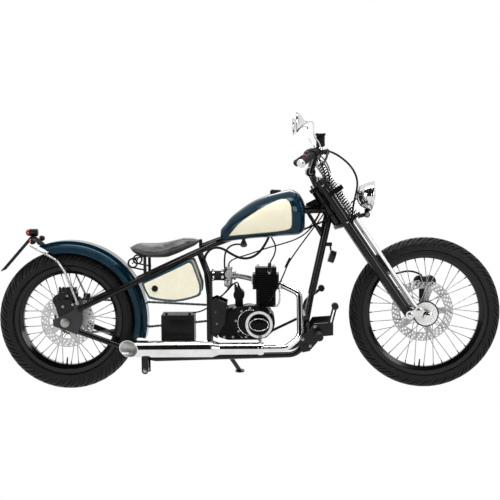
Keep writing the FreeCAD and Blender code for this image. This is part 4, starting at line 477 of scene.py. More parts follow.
coils = []
for side in (-1, 1):
    for foot, top, turns in ((-152, -28, 11.5), (-8, 129, 13)):
        count = int(turns * TURN_POINTS)
        coil = []
        for index in range(count + 1):
            wound = turns * index / count
            rise = min(1.0, max(0.0, (wound - 0.8) / (turns - 1.6)))
            coil.append(on_fork(ROD_AHEAD + SPRING_RADIUS * cos(tau * wound),
                                side * LEG_HALF + SPRING_RADIUS * sin(tau * wound),
                                foot + SPRING_WIRE + (top - foot - 2 * SPRING_WIRE) * rise))
        coils.append(coil)
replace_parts(settle(hose(SPRING_WIRE, *coils, order=4, sides=2, parts=2), "fork_spring_coils",
                   chrome, "fork", angle=60), "fork_springs")
# Black sleeves inside the coils darken the gaps between the turns: painted shade over the chrome rods.
coil_gap_shade_sleeves = [lathe([(9.8, 0), (12, 0), (12, high - low), (9.8, high - low)], on_fork(ROD_AHEAD, LEG_HALF, low),
                fork_up, 24, loop=True) for low, high in ((-150, -30), (-6, 127))]
settle(both_sides(coil_gap_shade_sleeves), "coil_gap_painted_shade", black_powder, "fork")

# Fork hardware: rod nuts over the spring caps, domed leg caps in the top yoke, pinch bolts and the
# stem nut. All are turned or forged steel, zinc plated or chromed.
# Zinc plating is greyer than chrome, and its shine is blurred and patchy.
zinc = finish("zinc_plated_steel", "b5b6b2", "94958f", metal=1.0, rough=(0.25, 0.4), patch=5)


def bolts(name, spots, material=zinc, body="chassis"):
    """Bolts or nuts with washers: each spot is (place, axis, width across, height)."""
    washer = lathe([(0, 0), (0.62, 0), (0.62, 0.16), (0.55, 0.2)], (0, 0, 0), UP, 16)
    bare()
    bpy.ops.mesh.primitive_cylinder_add(vertices=6, radius=0.5, depth=0.8)
    head = bpy.context.object
    head.data.transform(Matrix.Translation((0, 0, 0.6)))
    pattern = joined([washer, soften(head, 0.06)])
    heads = [copied(pattern, aimed(place, axis) @ Matrix.Diagonal((across, across, tall, 1)))
             for place, axis, across, tall in spots]
    dropped(pattern)
    return settle(heads, name, material, body, angle=30)


def mirrored(spots):
    """Bolt places of the left side, with their twins on the right."""
    return [((x, side * y, z), (a, side * b, c), across, tall)
            for side in (-1, 1) for (x, y, z), (a, b, c), across, tall in spots]


stem_spots = [(on_fork(0, 0, 42), fork_up, 34, 14), (on_fork(0, 0, -168), -fork_up, 30, 10)]
leg_spots = [(on_fork(LEG_AHEAD, LEG_HALF, 62), fork_up, 27, 8),
             (on_fork(ROD_AHEAD, LEG_HALF, 134), fork_up, 20, 9)]
leg_spots += [(on_fork(LEG_AHEAD, LEG_HALF + 22, z), LEFT, 10, 7) for z in (34, -160)]
leg_spots += [(on_fork(x, 125, z), LEFT, 20, 10) for x, z in ((LEG_AHEAD, -655), (ROD_AHEAD, -661))]
bolts("fork_nuts", stem_spots + mirrored(leg_spots), material=chrome, body="fork")

# Handlebar: one bent steel tube in risers on the top yoke, black like the frame. Ribbed rubber grips
# with chromed end weights, lever clamps with a square brake reservoir, and cranked alloy blades.
GRIP_TIP, GRIP_KNEE = Vector((1036, 375, 1010)), Vector((1112, 250, 1066))
GRIP_LONG, SWITCH_IN, CLAMP_IN = 118, 119, 138
dress(black_powder, "handlebar")
grip_run = (GRIP_TIP - GRIP_KNEE).normalized()


def chamfered(bore, outside, half, step_in, step_along):
    """The profile of a ring or a short round block whose outer edges are chamfered."""
    return [(bore, -half), (outside - step_in, -half), (outside, step_along - half),
            (outside, half - step_along), (outside - step_in, half), (bore, half)]


def slab(low, high, soft):
    """A block between two corners with softened edges."""
    bare()
    low, high = Vector(low), Vector(high)
    bpy.ops.mesh.primitive_cube_add(size=1)
    piece = bpy.context.object
    piece.data.transform(Matrix.Translation((low + high) / 2) @ Matrix.Diagonal((*(high - low), 1)))
    return soften(piece, soft)


profile = [(11.6, -2), (17.5, -1), (18, 1), (16, 3)]
for rib in range(11):
    profile += [(16, 6 + rib * 9), (14.9, 7.5 + rib * 9), (14.9, 10 + rib * 9), (16, 11.5 + rib * 9)]
profile += [(16, 113), (14, 117), (0, 118)]
grip = lathe(profile, GRIP_TIP - grip_run * GRIP_LONG, grip_run, 40)
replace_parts(settle(both_sides(grip), "ribbed_grips", moulded_rubber, "fork"), "grips")
weight = lathe([(11.8, -6), (18.6, -6), (19, -5), (19, -2), (18.6, -1), (14, -0.5), (12, 4), (6, 5.5),
                (0, 5.5)], GRIP_TIP, grip_run, 32)
settle(both_sides(weight), "bar_end_weights", chrome, "fork")
settle([lathe(chamfered(11.2, 22, 3, 1, 1), (1090, y, 973), steps=40) for y in (-66, -34, 34, 66)],
       "riser_rings", chrome, "fork")

# Anodising leaves the casting's grain in black, with a low metallic sheen.
black_alloy = finish("black_anodised_casting", "111112", "1b1b1d", metal=0.4, rough=(0.3, 0.45), patch=16,
                     grain=1.4, relief=0.04)
CLAMP = GRIP_TIP - grip_run * CLAMP_IN
CLAMP_X, CLAMP_Y, CLAMP_Z = CLAMP
PERCH = CLAMP + Vector((46, -2, 0))
settle(both_sides([
    lathe(chamfered(11.4, 19.5, 16, 1.5, 2), CLAMP, grip_run, 32),
    slab((CLAMP_X + 10, CLAMP_Y - 15, CLAMP_Z - 9), (CLAMP_X + 46, CLAMP_Y + 13, CLAMP_Z + 9), 4),
    lathe(chamfered(0, 11, 11, 1, 2), PERCH, UP, 24)]),
    "lever_clamps", black_alloy, "fork")
BLADE_REACH, BLADE_DROP, BLADE_TALL = 110, 46, 0.35
blade_shift = PERCH - Vector((1098, 228, 1060))
blade_line = [blade_shift + Vector(spot) for spot in (
    (1098, 228, 1060), (1100, 256, 1050), (1093, 286, 1032), (1082, 314, 1016), (1074, 340, 1008))]
blade = hose(5, blade_line, parts=8)
for vertex in blade.data.vertices:
    share = max(0.0, min(1.0, (vertex.co.y - CLAMP_Y) / BLADE_REACH))
    centre = CLAMP_Z - 4 - share * BLADE_DROP
    vertex.co.z = centre + (vertex.co.z - centre) * (1 + BLADE_TALL * (1 - share))
knob = lathe([(0, -7), (5, -6), (7.5, -2), (7.5, 2), (5, 6), (0, 7)], blade_line[-1], steps=20)
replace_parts(settle(both_sides([blade, knob]), "lever_blades", black_alloy, "fork"), "levers")

# Brake reservoir on the right: a square black cup with a screwed lid, and a switch housing beside
# each grip. The engine stop rocker on the right is red.
# Plastic from a fine-grained mould has an even half gloss.
black_plastic = finish("moulded_black_abs", "0b0b0c", "131315", rough=(0.3, 0.42), patch=20, grain=0.8,
                       relief=0.02, shine=0.2)
settle([slab((1106, -262, 1082), (1142, -222, 1128), 4), slab((1103, -265, 1128), (1145, -219, 1138), 2.5),
        slab((1112, -250, 1062), (1134, -234, 1084), 3),
        both_sides(lathe([(11.4, -14), (21, -14), (23, -12), (23, 10), (21, 13), (11.4, 13)],
                         GRIP_TIP - grip_run * SWITCH_IN, grip_run, 32))],
       "switch_housings", black_plastic, "fork")
# The rocker is dyed right through, an even red with a half gloss.
red_rocker = finish("red_switch_rocker", "a3122c", "8c0f25", rough=(0.25, 0.35), patch=12)
settle(slab((1043, -342, 1040), (1061, -330, 1049), 2.5), "stop_switch", red_rocker, "fork")
bolts("bar_screws", [((x, y, 1138), UP, 6, 2.5) for x in (1109, 1139) for y in (-259, -225)]
      + mirrored([(PERCH + Vector((0, 0, 10)), UP, 11, 6)])
      + mirrored([(CLAMP - grip_run * step - Vector((19, 0, 0)), BACK, 9, 5) for step in (-9, 9)])
      + mirrored([((1090, y, 985), fork_up, 9, 6) for y in (41, 59)]), body="fork")

# Mirrors: spun brass shells, chromed, shaped like a short cone behind a flat silvered glass, each
# on a bent chromed rod that screws into its lever clamp.
MIRROR = (1028, 330, 1186)
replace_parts(settle(both_sides([
    lathe([(0, 34), (7, 33), (10, 29), (24, 15), (38, 4), (45, -2), (46, -6), (45, -8), (43, -8)], MIRROR,
          AHEAD, 56),
    lathe([(6, 30), (7.5, 32), (7.5, 40), (6, 42), (0, 42)], MIRROR, AHEAD, 24),
    hose(3.6, [(1066, 330, 1186), (1078, 328, 1187), (1088, 327, 1186), (1092, 324, 1174), (1092, 300, 1124),
               (CLAMP_X + 20, CLAMP_Y, 1094), (CLAMP_X + 20, CLAMP_Y, CLAMP_Z + 6)], parts=10),
    lathe([(5, 0), (9, 0), (9, 12), (7, 14), (5, 14)], (CLAMP_X + 20, CLAMP_Y, CLAMP_Z + 8), UP, 20)]),
    "mirror_shells", chrome, "fork"), "mirrors")
# Silvered glass mirrors sharply, with no tint.
silvered = finish("silvered_mirror_glass", "f2f4f5", "eceff0", metal=1.0, rough=(0.01, 0.02), patch=80)
glass_face = lathe([(0, -6.5), (42.5, -6.5), (43.5, -5.5), (43.5, -3), (0, -3)], MIRROR, AHEAD, 56)
settle(both_sides(glass_face), "mirror_glasses", silvered, "fork")

# Engine: an air-cooled upright single. The case and the finned cylinder are sand-cast alloy under
# black engine paint; the clutch cover is gloss black with a polished ring round its bare oval.
# The paint lets the casting's grain show and has a low gloss.
engine_paint = finish("black_engine_paint", "060607", "0c0c0d", rough=(0.35, 0.5), patch=24, grain=2.0,
                      relief=0.05, shine=0.15)
# On the cover's ground face the same black is smooth and shines sharply.
gloss_cover = finish("gloss_black_cover_paint", "070708", "0e0e0f", rough=(0.14, 0.24), patch=60, shine=0.1)
# Polished trim shines much as chrome does, a little softer.
polished_alloy = finish("polished_alloy_trim", "dededc", "c4c4c2", metal=1.0, rough=(0.1, 0.2), patch=12)
# A die casting left bare is pale grey, with a fine dull grain.
raw_casting = finish("raw_die_casting", "c2c3c2", "9c9d9d", metal=0.9, rough=(0.3, 0.46), patch=9, grain=1.3,
                     relief=0.06)
dress(engine_paint, "crankcase", "cylinder", "cylinder_head", "left_cover")
dress(gloss_cover, "clutch_cover")
dress(moulded_rubber, "air_hose")
dress(polished_alloy, "cover_ring")


def ring_of(middle, radius, angles, tall=None):
    """Places round a middle in the side view, on a circle or an oval."""
    x, y, z = middle
    return [(x + radius * cos(radians(a)), y, z + (tall or radius) * sin(radians(a))) for a in angles]


OVAL_X, OVAL_Z, COVER_X, COVER_Z, SCREW_RING = 857, 302, 820, 311, 66
inlay = lathe([(0, -1), (48, -1), (48, 0.6), (47, 1.2), (0, 1.2)], (OVAL_X, -118.5, OVAL_Z), RIGHT, 64)
settle(inlay, "ring_inlay", gloss_cover)
settle([hose(2.2, ring_of((OVAL_X, -119.9, OVAL_Z), 42, range(0, 360, 15), 27), loop=True, parts=3),
        hose(1.8, ring_of((COVER_X, -111.2, COVER_Z), 57, range(75, 266, 10)), parts=3)],
       "cover_rims", polished_alloy)

# Engine fasteners: zinc screws round both covers, long head nuts, case bolts and mount bolts.
right_ring = ring_of((COVER_X, -111.5, COVER_Z), SCREW_RING, (92, 128, 172, 215, 252))
left_ring = ring_of((810, 70, 300), SCREW_RING, (20, 75, 130, 185, 240, 300))
bolts("engine_bolts", [(spot, RIGHT, 9, 5) for spot in right_ring]
      + [(spot, LEFT, 9, 5) for spot in left_ring]
      + mirrored([((x, 60, z), LEFT, 10, 6) for x, z in ((668, 240), (700, 240), (740, 240), (780, 240),
                                                         (664, 352), (668, 300), (905, 350), (760, 360))])
      + mirrored([((x, y, z), UP, 12, 9) for x in (852, 924) for y, z in ((25, 547.5), (40, 372))])
      + mirrored([((821, 22, 490), BACK, 9, 5)])
      + [((955, -40, 456), AHEAD, 10, 7), ((955, 0, 484), AHEAD, 10, 7)])

# Spark plug with its rubber cap, the two rubber boots of the starter drive on the case top, and the
# steel oil line beside the barrel.
plug = lathe([(0, 0), (7, 0), (7, 8), (10, 9), (10, 15), (6.5, 16), (6, 22), (0, 22)], (903, -44, 520),
             (0.1, -0.5, 1), 20)
settle(plug, "spark_plug", zinc)
settle([hose(8, [(904, -52, 535), (905, -58, 548), (905, -62, 560), (906, -62, 570)], parts=8)]
       + [lathe([(6, 0), (9, 0), (9.5, 8), (7, 20), (5, 30), (4, 34), (0, 34)], (x, -22, 440),
                (-0.2, -0.4, 1), 20) for x in (757, 771)], "rubber_boots", moulded_rubber)
settle(hose(3.6, [(936, -30, 372), (948, -34, 384), (950, -36, 410), (950, -36, 446), (944, -34, 462)],
            parts=8), "oil_line", polished_alloy)

# Carburettor: a die-cast body with its float bowl, top cap and cable adjuster, fed through a black
# rubber hose with bright worm-drive clamps.
CARBURETTOR = (722, 0, 510)
slide_tower = lathe([(0, 0), (15, 0), (15, 26), (17, 28), (17, 38), (13, 41), (6, 42), (5, 52), (0, 52)],
                    CARBURETTOR, UP, 40)
venturi = lathe([(19, -30), (21, -28), (21, -20), (17, -18), (17, 20), (21, 22), (21, 30), (18, 32), (0, 32),
                 (0, -30)], CARBURETTOR, AHEAD, 40)
float_bowl = lathe([(0, -19), (15, -19), (19, -15), (19, 12), (21, 14), (21, 18), (18, 19), (0, 19)],
                   (719, 0, 479), UP, 40)
bowl_face = lathe([(0, 6), (11, 6), (13.5, 4), (14, 0), (0, 0)], (716, -17, 478), RIGHT, 32)
drain = lathe([(0, 0), (6, 0), (6, 6), (4, 8), (0, 8)], (719, 0, 460), DOWN, 16)
intake = hose(12.5, [(748, 0, 510), (776, 0, 508), (806, 0, 500), (830, 0, 493)], order=4, sides=5, parts=10)
intake_flange = slab((824, -24, 470), (834, 24, 512), 3)
idle_screw = bar((722, -18, 500), (722, -34, 500), 4, soft=0.6)
throttle_wheel = lathe([(0, 0), (17, 0), (18, 1), (18, 4), (17, 5), (0, 5)], (722, -28, 518), RIGHT, 32)
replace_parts(settle([slide_tower, venturi, float_bowl, bowl_face, drain, intake, intake_flange, idle_screw,
                    throttle_wheel], "carburettor_body", raw_casting), "carburettor")
screws = [((722 + 18 * cos(t), 18 * sin(t), 482), DOWN, 6, 4) for t in (0.7, 2.3, 3.9, 5.4)]
bolts("carburettor_screws", screws)
settle([lathe(chamfered(22.6, 24.4, 5, 0.2, 1), (x, 0, 510), AHEAD, 48) for x in (652, 694)]
       + [slab((x - 6, -8, 532), (x + 6, 8, 541), 2) for x in (652, 694)],
       "hose_clamps", polished_alloy)

# Exhaust: bent and welded steel tube, chromed, from a flanged port on the head down the right side
# to a straight drum whose tail is cut on the slant. The tail shows a dark bore with some soot.
dress(chrome, "exhaust_header", "muffler")
MUFFLER_Y, MUFFLER_Z = -165, 205
SLASH = radians(51)
settle([lathe(chamfered(26.2, 28.8, 9, 0.6, 1), (862, MUFFLER_Y, MUFFLER_Z), AHEAD, 48),
        slab((854, MUFFLER_Y - 8, MUFFLER_Z + 27), (870, MUFFLER_Y + 8, MUFFLER_Z + 39), 2),
        lathe([(36.6, -3), (37.8, -2), (37.8, 2), (36.6, 3)], (648, MUFFLER_Y, MUFFLER_Z), AHEAD, 56)],
       "muffler_clamps", chrome)
# Soot and heat leave bare steel brown-black and dull.
soot = finish("sooty_bare_steel", "1b1a19", "34302c", metal=0.6, rough=(0.6, 0.8), patch=8, grain=1.2,
              relief=0.05)
baffle = lathe([(0, 0), (30, 0), (33.8, 1), (33.8, 4), (14, 4), (14, 12), (12, 12), (12, 4), (0, 4)],
               (376, MUFFLER_Y, MUFFLER_Z), BACK, 40)
settle(baffle, "muffler_baffle", soot)
liner = lathe([(33.2, 0), (33.9, 0), (33.9, 190), (33.2, 190)], (240, MUFFLER_Y, MUFFLER_Z), AHEAD, 64,
              loop=True)
edited(liner, (bpy.ops.mesh.bisect, {"plane_co": (285, MUFFLER_Y, MUFFLER_Z), "clear_outer": True,
                                     "plane_no": (-cos(SLASH), -sin(SLASH), 0)}))
# Brushing draws the highlight out into a broad grey band.
brushed = finish("brushed_inner_steel", "c9c9c8", "a5a5a4", metal=0.9, rough=(0.36, 0.5), patch=20)
settle(liner, "muffler_liner", brushed)
bolts("hanger_bolts", [((356, -171.5, 109), RIGHT, 15, 8), ((356, -112, 152), RIGHT, 12, 6),
                       ((862, MUFFLER_Y - 9, MUFFLER_Z + 33), RIGHT, 10, 6)])

# Drive chain: blued steel side plates riveted over rollers, one link every 12.7 mm round the two
# sprockets, with a film of oil that shines along the upper run.
chain_steel = finish("oiled_chain_steel", "6b6a66", "4b4a47", metal=1.0, rough=(0.28, 0.45), patch=6)
BIG, SMALL, CHAIN_SIDE, PITCH = 82.4, 31.4, 84, 12.7
rear_middle, front_middle = Vector((0, REAR_AXLE.z)), Vector((698, 330))
span = front_middle - rear_middle
tilt = asin((BIG - SMALL) / span.length)
straight = sqrt(span.length ** 2 - (BIG - SMALL) ** 2)
top_turn = atan2(span.y, span.x) + pi / 2 - tilt
low_turn = atan2(span.y, span.x) - pi / 2 + tilt
big_arc, small_arc = (tau - (top_turn - low_turn)) * BIG, (top_turn - low_turn) * SMALL
chain_length = 2 * straight + big_arc + small_arc
link_count = int(chain_length / PITCH / 2) * 2


def chain_spot(distance):
    """A point of the chain's centre line and its heading, from the top of the rear sprocket."""
    runs = ((straight, rear_middle, BIG, top_turn, True), (small_arc, front_middle, SMALL, top_turn, False),
            (straight, front_middle, SMALL, low_turn, True), (tau * BIG, rear_middle, BIG, low_turn, False))
    for length, middle, radius, turn, level in runs:
        if distance < length:
            break
        distance -= length
    if not level:
        turn -= distance / radius
        distance = 0
    heading = turn - pi / 2
    spot = middle + Vector((cos(turn), sin(turn))) * radius + Vector((cos(heading), sin(heading))) * distance
    return spot, heading


def link_pattern(outer):
    """One link along +X: two waisted plates, with rollers or pins at both ends."""
    reach, half = (7.4, 5.4) if outer else (5.8, 5.0)
    end = PITCH / 2
    outline = [(-end - half, 0), (-end - half * 0.5, half * 0.87), (-end + half * 0.5, half * 0.87),
               (0, half * 0.62), (end - half * 0.5, half * 0.87), (end + half * 0.5, half * 0.87),
               (end + half, 0)]
    outline += [(x, -z) for x, z in outline[-2:0:-1]]
    parts = [prism([(x, side * reach, z) for x, z in outline], (0, -side * 1.4, 0)) for side in (-1, 1)]
    wide, radius = (8.2, 2.2) if outer else (4.2, 4.2)
    return joined(parts + [bar((x, -wide, 0), (x, wide, 0), radius, steps=8) for x in (-end, end)])


patterns = [link_pattern(False), link_pattern(True)]
links = []
for number in range(link_count):
    at, heading = chain_spot(chain_length * number / link_count)
    place = Matrix.Translation((at.x, CHAIN_SIDE, at.y)) @ Matrix.Rotation(-heading, 4, "Y")
    links.append(copied(patterns[number % 2], place))
for pattern in patterns:
    dropped(pattern)
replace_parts(settle(links, "drive_chain", chain_steel, angle=30), "chain")

# Headlamp: a deep spun bowl, chromed, with a rolled rim that holds a domed fluted lens in front of
# an aluminised reflector and its bulb. It pivots on a forged bracket under the lamp.
LAMP, LAMP_DIP = Vector((1368, 0, 866)), radians(4.5)
FLUTE_WIDE, FLUTE_DEEP = 9, 0.5
lamp_axis = Vector((cos(LAMP_DIP), 0, -sin(LAMP_DIP)))
settle([lathe([(0, -74), (12, -73), (26, -70), (40, -62), (52, -50), (61, -36), (66, -22), (68.5, -9),
               (68.5, -4), (66.5, -4), (64, -20), (58, -36), (49, -50), (38, -60), (0, -68)],
              LAMP, lamp_axis, 64),
        lathe([(66, -12), (71, -12), (72.5, -10), (72.5, -3), (71.5, 0), (68, 2.5), (64.5, 1.5), (64, -1),
               (66, -3)], LAMP, lamp_axis, 72, loop=True)], "lamp_bowl", chrome, "fork")
# Aluminium laid on a smooth bowl throws nearly all the light back.
reflector_skin = finish("aluminised_reflector", "f0f0ee", "e6e6e4", metal=1.0, rough=(0.04, 0.08), patch=30)
settle([lathe([(9, -52), (20, -48), (34, -38), (46, -26), (56, -13), (63.5, -3)], LAMP, lamp_axis, 64),
        lathe([(0, -24), (6, -26), (8, -32), (8, -42), (5, -50), (9, -52), (9, -58), (0, -58)],
              LAMP, lamp_axis, 24)], "lamp_reflector", reflector_skin, "fork")
# Pressed glass is clear, and bright at its rim.
lens_glass = finish("pressed_lens_glass", "ffffff", "fbfdfd", rough=(0.02, 0.05), patch=60)
glass_inputs = lens_glass.node_tree.nodes["Principled BSDF"].inputs
glass_inputs["Transmission Weight"].default_value = 1.0
glass_inputs["IOR"].default_value = 1.5
lens = lathe([(0, 12), (18, 11.2), (36, 8.6), (52, 4.4), (64, -0.4), (65, -2), (64, -3.5), (50, 1.2),
              (35, 5.4), (18, 7.9), (0, 8.6)], LAMP, lamp_axis, 96)
for vertex in lens.data.vertices:
    if (vertex.co - LAMP).dot(lamp_axis) < 9 and abs(vertex.co.y) < 60:
        vertex.co -= lamp_axis * FLUTE_DEEP * cos(vertex.co.y * tau / FLUTE_WIDE)
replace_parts(settle(lens, "lamp_glass", lens_glass, "fork"), "lamp_lens")
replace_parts(settle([
    slab((1332, -8, 774), (1352, 8, 806), 3), bar((1198, 0, 745), (1340, 0, 782), 9, soft=2),
    lathe(chamfered(0, 14, 13, 1, 1), (1342, 0, 781), steps=32)],
    "lamp_bracket", black_powder, "fork"), "headlamp")
bolts("lamp_bolts", mirrored([((1342, 13, 781), LEFT, 15, 6)]), body="fork")

# Fuel tank: two pressed steel halves, seam welded and sprayed in a deep teal with fine metal flake
# under clear lacquer. A cream panel on each side is edged with a thin tan pinstripe.
TANK_REAR, TANK_FRONT, TANK_LOW, TANK_TALL, TANK_HALF = 686, 1064, 664, 231, 122
TANK_ROWS = [
    (0.0, 0.03, 0.17, 0.16), (0.008, 0.01, 0.24, 0.26), (0.06, 0.0, 0.34, 0.38), (0.143, 0.017, 0.5, 0.52),
    (0.36, 0.06, 0.757, 0.78), (0.577, 0.087, 0.91, 0.94), (0.74, 0.11, 0.98, 1.0), (0.839, 0.12, 1.0, 0.99),
    (0.926, 0.135, 0.94, 0.9), (0.985, 0.2, 0.8, 0.7), (1.0, 0.3, 0.7, 0.55),
]
SECTION = [(0, 1), (0.62, 0.9), (1, 0.38), (1, -0.31), (0.8, -0.9), (0, -1)]
LINE_PARTS = 4


def smooth_line(points, loop=False):
    """A line through all its points, rounded between them."""
    if loop:
        run = [points[-1], *points, *points[:2]]
    else:
        run = [points[0] * 2 - points[1], *points, points[-1] * 2 - points[-2]]
    line = []
    for a, b, c, e in zip(run, run[1:], run[2:], run[3:]):
        for step in range(LINE_PARTS):
            t = step / LINE_PARTS
            line.append(0.5 * (2 * b + (c - a) * t + (2 * a - 5 * b + 4 * c - e) * t * t
                               + (3 * b - a - 3 * c + e) * t ** 3))
    return line if loop else line + [points[-1]]


def lofted(rows, rear, front, low, tall, half):
    """A closed skin through sections across the bike: rows are (along, foot, top, width) as shares."""
    rings = []
    for along, foot, top, wide in rows:
        middle, rise = low + tall * (foot + top) / 2, tall * (top - foot) / 2
        x = rear + (front - rear) * along
        corners = [Vector((x, half * wide * s, middle + rise * h)) for s, h in SECTION]
        corners += [Vector((p.x, -p.y, p.z)) for p in corners[-2:0:-1]]
        rings.append(smooth_line(corners, loop=True))
    lines = [smooth_line(line) for line in zip(*rings)]
    around, along = len(lines), len(lines[0])
    faces = []
    for i in range(along - 1):
        for k in range(around):
            n = (k + 1) % around
            faces.append((i * around + k, i * around + n, (i + 1) * around + n, (i + 1) * around + k))
    faces += [tuple(range(around)), tuple(range((along - 1) * around, along * around))]
    return closed_up(from_points([spot for ring in zip(*lines) for spot in ring], (), faces))


PANEL = [(722, 690), (737, 711), (756, 734), (772, 750), (789, 765), (822, 788), (857, 811), (894, 831),
         (930, 848), (959, 859), (980, 857), (994, 846), (1002, 827), (1005, 800), (1006, 770), (1005, 742),
         (1001, 730), (993, 723), (975, 718), (950, 714), (915, 710), (866, 705), (817, 700), (768, 695)]
PINSTRIPE = 2.6


def edge_distance(x, z, outline):
    """Distance to a closed outline in the side view, negative inside it."""
    best, inside = 1e9, False
    for (x1, z1), (x2, z2) in zip(outline, outline[1:] + outline[:1]):
        dx, dz = x2 - x1, z2 - z1
        t = max(0, min(1, ((x - x1) * dx + (z - z1) * dz) / (dx * dx + dz * dz)))
        best = min(best, hypot(x - x1 - t * dx, z - z1 - t * dz))
        if (z1 > z) != (z2 > z) and x < x1 + (z - z1) / (z2 - z1) * dx:
            inside = not inside
    return -best if inside else best


def mark(piece, outline):
    """Store each corner's distance to the painted panel's edge, in millimetres."""
    field = piece.data.attributes.new("panel_edge", "FLOAT", "POINT")
    for index, vertex in enumerate(piece.data.vertices):
        field.data[index].value = edge_distance(vertex.co.x, vertex.co.z, outline)


def flake_and_panel(tree, shader, place):
    """Cream inside the panel's edge, a tan line on it, and flake glitter in the teal outside."""
    edge = add(tree, "ShaderNodeAttribute", {"attribute_name": "panel_edge"}).outputs["Fac"]
    inside = add(tree, "ShaderNodeMath", {"operation": "LESS_THAN", 1: 0.0}, {0: edge}).outputs[0]
    panel = add(tree, "ShaderNodeMath", {"operation": "LESS_THAN", 1: -PINSTRIPE}, {0: edge}).outputs[0]
    under = shader.inputs["Base Color"].links[0].from_socket
    cream_patch = add(tree, "ShaderNodeTexNoise", {"Scale": 14.0, "Detail": 3.0}, {"Vector": place})
    cream = add(tree, "ShaderNodeMix", {"data_type": "RGBA", 6: linear("efead2"), 7: linear("e4dec3")},
                {0: cream_patch.outputs["Fac"]}).outputs[2]
    line = add(tree, "ShaderNodeMix", {"data_type": "RGBA", 7: linear("7c6238")},
               {0: inside, 6: under}).outputs[2]
    whole = add(tree, "ShaderNodeMix", {"data_type": "RGBA"}, {0: panel, 6: line, 7: cream}).outputs[2]
    tree.links.new(whole, shader.inputs["Base Color"])
    metal = add(tree, "ShaderNodeMapRange", {"To Min": 0.4, "To Max": 0.0}, {0: inside}).outputs[0]
    tree.links.new(metal, shader.inputs["Metallic"])


# Flake lacquer is deep and dark, and lights up blue-green where it faces the light.
teal = finish("teal_flake_lacquer", "052e3e", "03202d", metal=0.45, rough=(0.14, 0.24), patch=70, grain=0.7,
              relief=0.01, coat=0.15, shine=0.2)
tank_paint = finish("teal_and_cream_lacquer", "052e3e", "03202d", metal=0.45, rough=(0.14, 0.24), patch=70,
                    coat=0.15, shine=0.2, extra=flake_and_panel)
tank = lofted(TANK_ROWS, TANK_REAR, TANK_FRONT, TANK_LOW, TANK_TALL, TANK_HALF)
modified(tank, "SUBSURF", levels=2, render_levels=2)
mark(tank, PANEL)
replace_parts(settle(tank, "tank_skin", tank_paint, angle=60), "fuel_tank")
CAP, KNURLS = (934, 0, 868), 20
cap = lathe([(0, 27), (19, 27), (22, 25.5), (24, 22), (24, 6), (22.5, 4), (22.5, 0), (0, 0)], CAP,
            (0.06, 0, 1), 48)
rib = slab((22.8, -1.6, 7), (24.8, 1.6, 21), 0.5)
knurl = [copied(rib, Matrix.Translation(CAP) @ Matrix.Rotation(tau * k / KNURLS, 4, "Z"))
         for k in range(KNURLS)]
dropped(rib)
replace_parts(settle([cap] + knurl, "filler_cap", black_plastic), "tank_cap")

# Saddle: a pressed steel pan under moulded foam, covered in black grained leather. The cover is
# sewn along a welt a little above the pan, so the top crowns over it and the skirt tucks under.
# The grain breaks the highlight into a grey bloom on the crown.
leather = finish("black_grained_leather", "19191a", "242425", rough=(0.32, 0.46), patch=16, grain=1.6,
                 relief=0.12, shine=0.9)
SEAT_REAR, SEAT_FRONT, SEAT_LOW, SEAT_TALL, SEAT_HALF = 285, 589, 603, 78, 126
SEAT_ROWS = [
    (0, 0.42, 0.58, 0.35), (0.05, 0.25, 0.68, 0.62), (0.15, 0.06, 0.63, 0.9), (0.25, 0.01, 0.6, 1),
    (0.4, 0.0, 0.61, 0.96), (0.533, 0.02, 0.69, 0.82), (0.707, 0.25, 0.85, 0.52), (0.82, 0.45, 0.95, 0.38),
    (0.914, 0.6, 0.99, 0.3), (1, 0.8, 0.98, 0.2),
]
CLOTH_GRID, CLOTH_CAP, CLOTH_STEPS = 0.006, 0.006, 12
seat = lofted(SEAT_ROWS, SEAT_REAR, SEAT_FRONT, SEAT_LOW, SEAT_TALL, SEAT_HALF)
settle(seat, "saddle_cover", leather, angle=60)
modified(seat, "REMESH", mode="VOXEL", voxel_size=CLOTH_GRID, use_smooth_shade=True)
before = [vertex.co.copy() for vertex in seat.data.vertices]
only(seat)
cloth = seat.modifiers.new("foam", "CLOTH")
cloth.settings.use_pressure = True
cloth.settings.uniform_pressure_force = 4
cloth.settings.effector_weights.gravity = 0
for step in range(1, CLOTH_STEPS + 1):
    bpy.context.scene.frame_set(step)
bpy.ops.object.modifier_apply(modifier="foam")
bpy.context.scene.frame_set(1)
for vertex, start in zip(seat.data.vertices, before):
    move = vertex.co - start
    if move.length > CLOTH_CAP:
        vertex.co = start + move.normalized() * CLOTH_CAP
modified(seat, "SMOOTH", factor=0.5, iterations=2)
modified(seat, "SUBSURF", levels=1, render_levels=1)
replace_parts(seat, "seat")

# Welt round the saddle: a leather piping sewn in between the top and the skirt, which covers
# the seam where they meet.
welt = [Vector((SEAT_REAR + (SEAT_FRONT - SEAT_REAR) * along, SEAT_HALF * wide + 0.8,
                SEAT_LOW + SEAT_TALL * (foot * 0.62 + top * 0.38))) for along, foot, top, wide in SEAT_ROWS]
welt = [Vector((p.x, -p.y, p.z)) for p in reversed(welt)] + welt
settle(hose(2.2, smooth_line(welt, loop=True), loop=True, parts=3), "saddle_welt", leather)

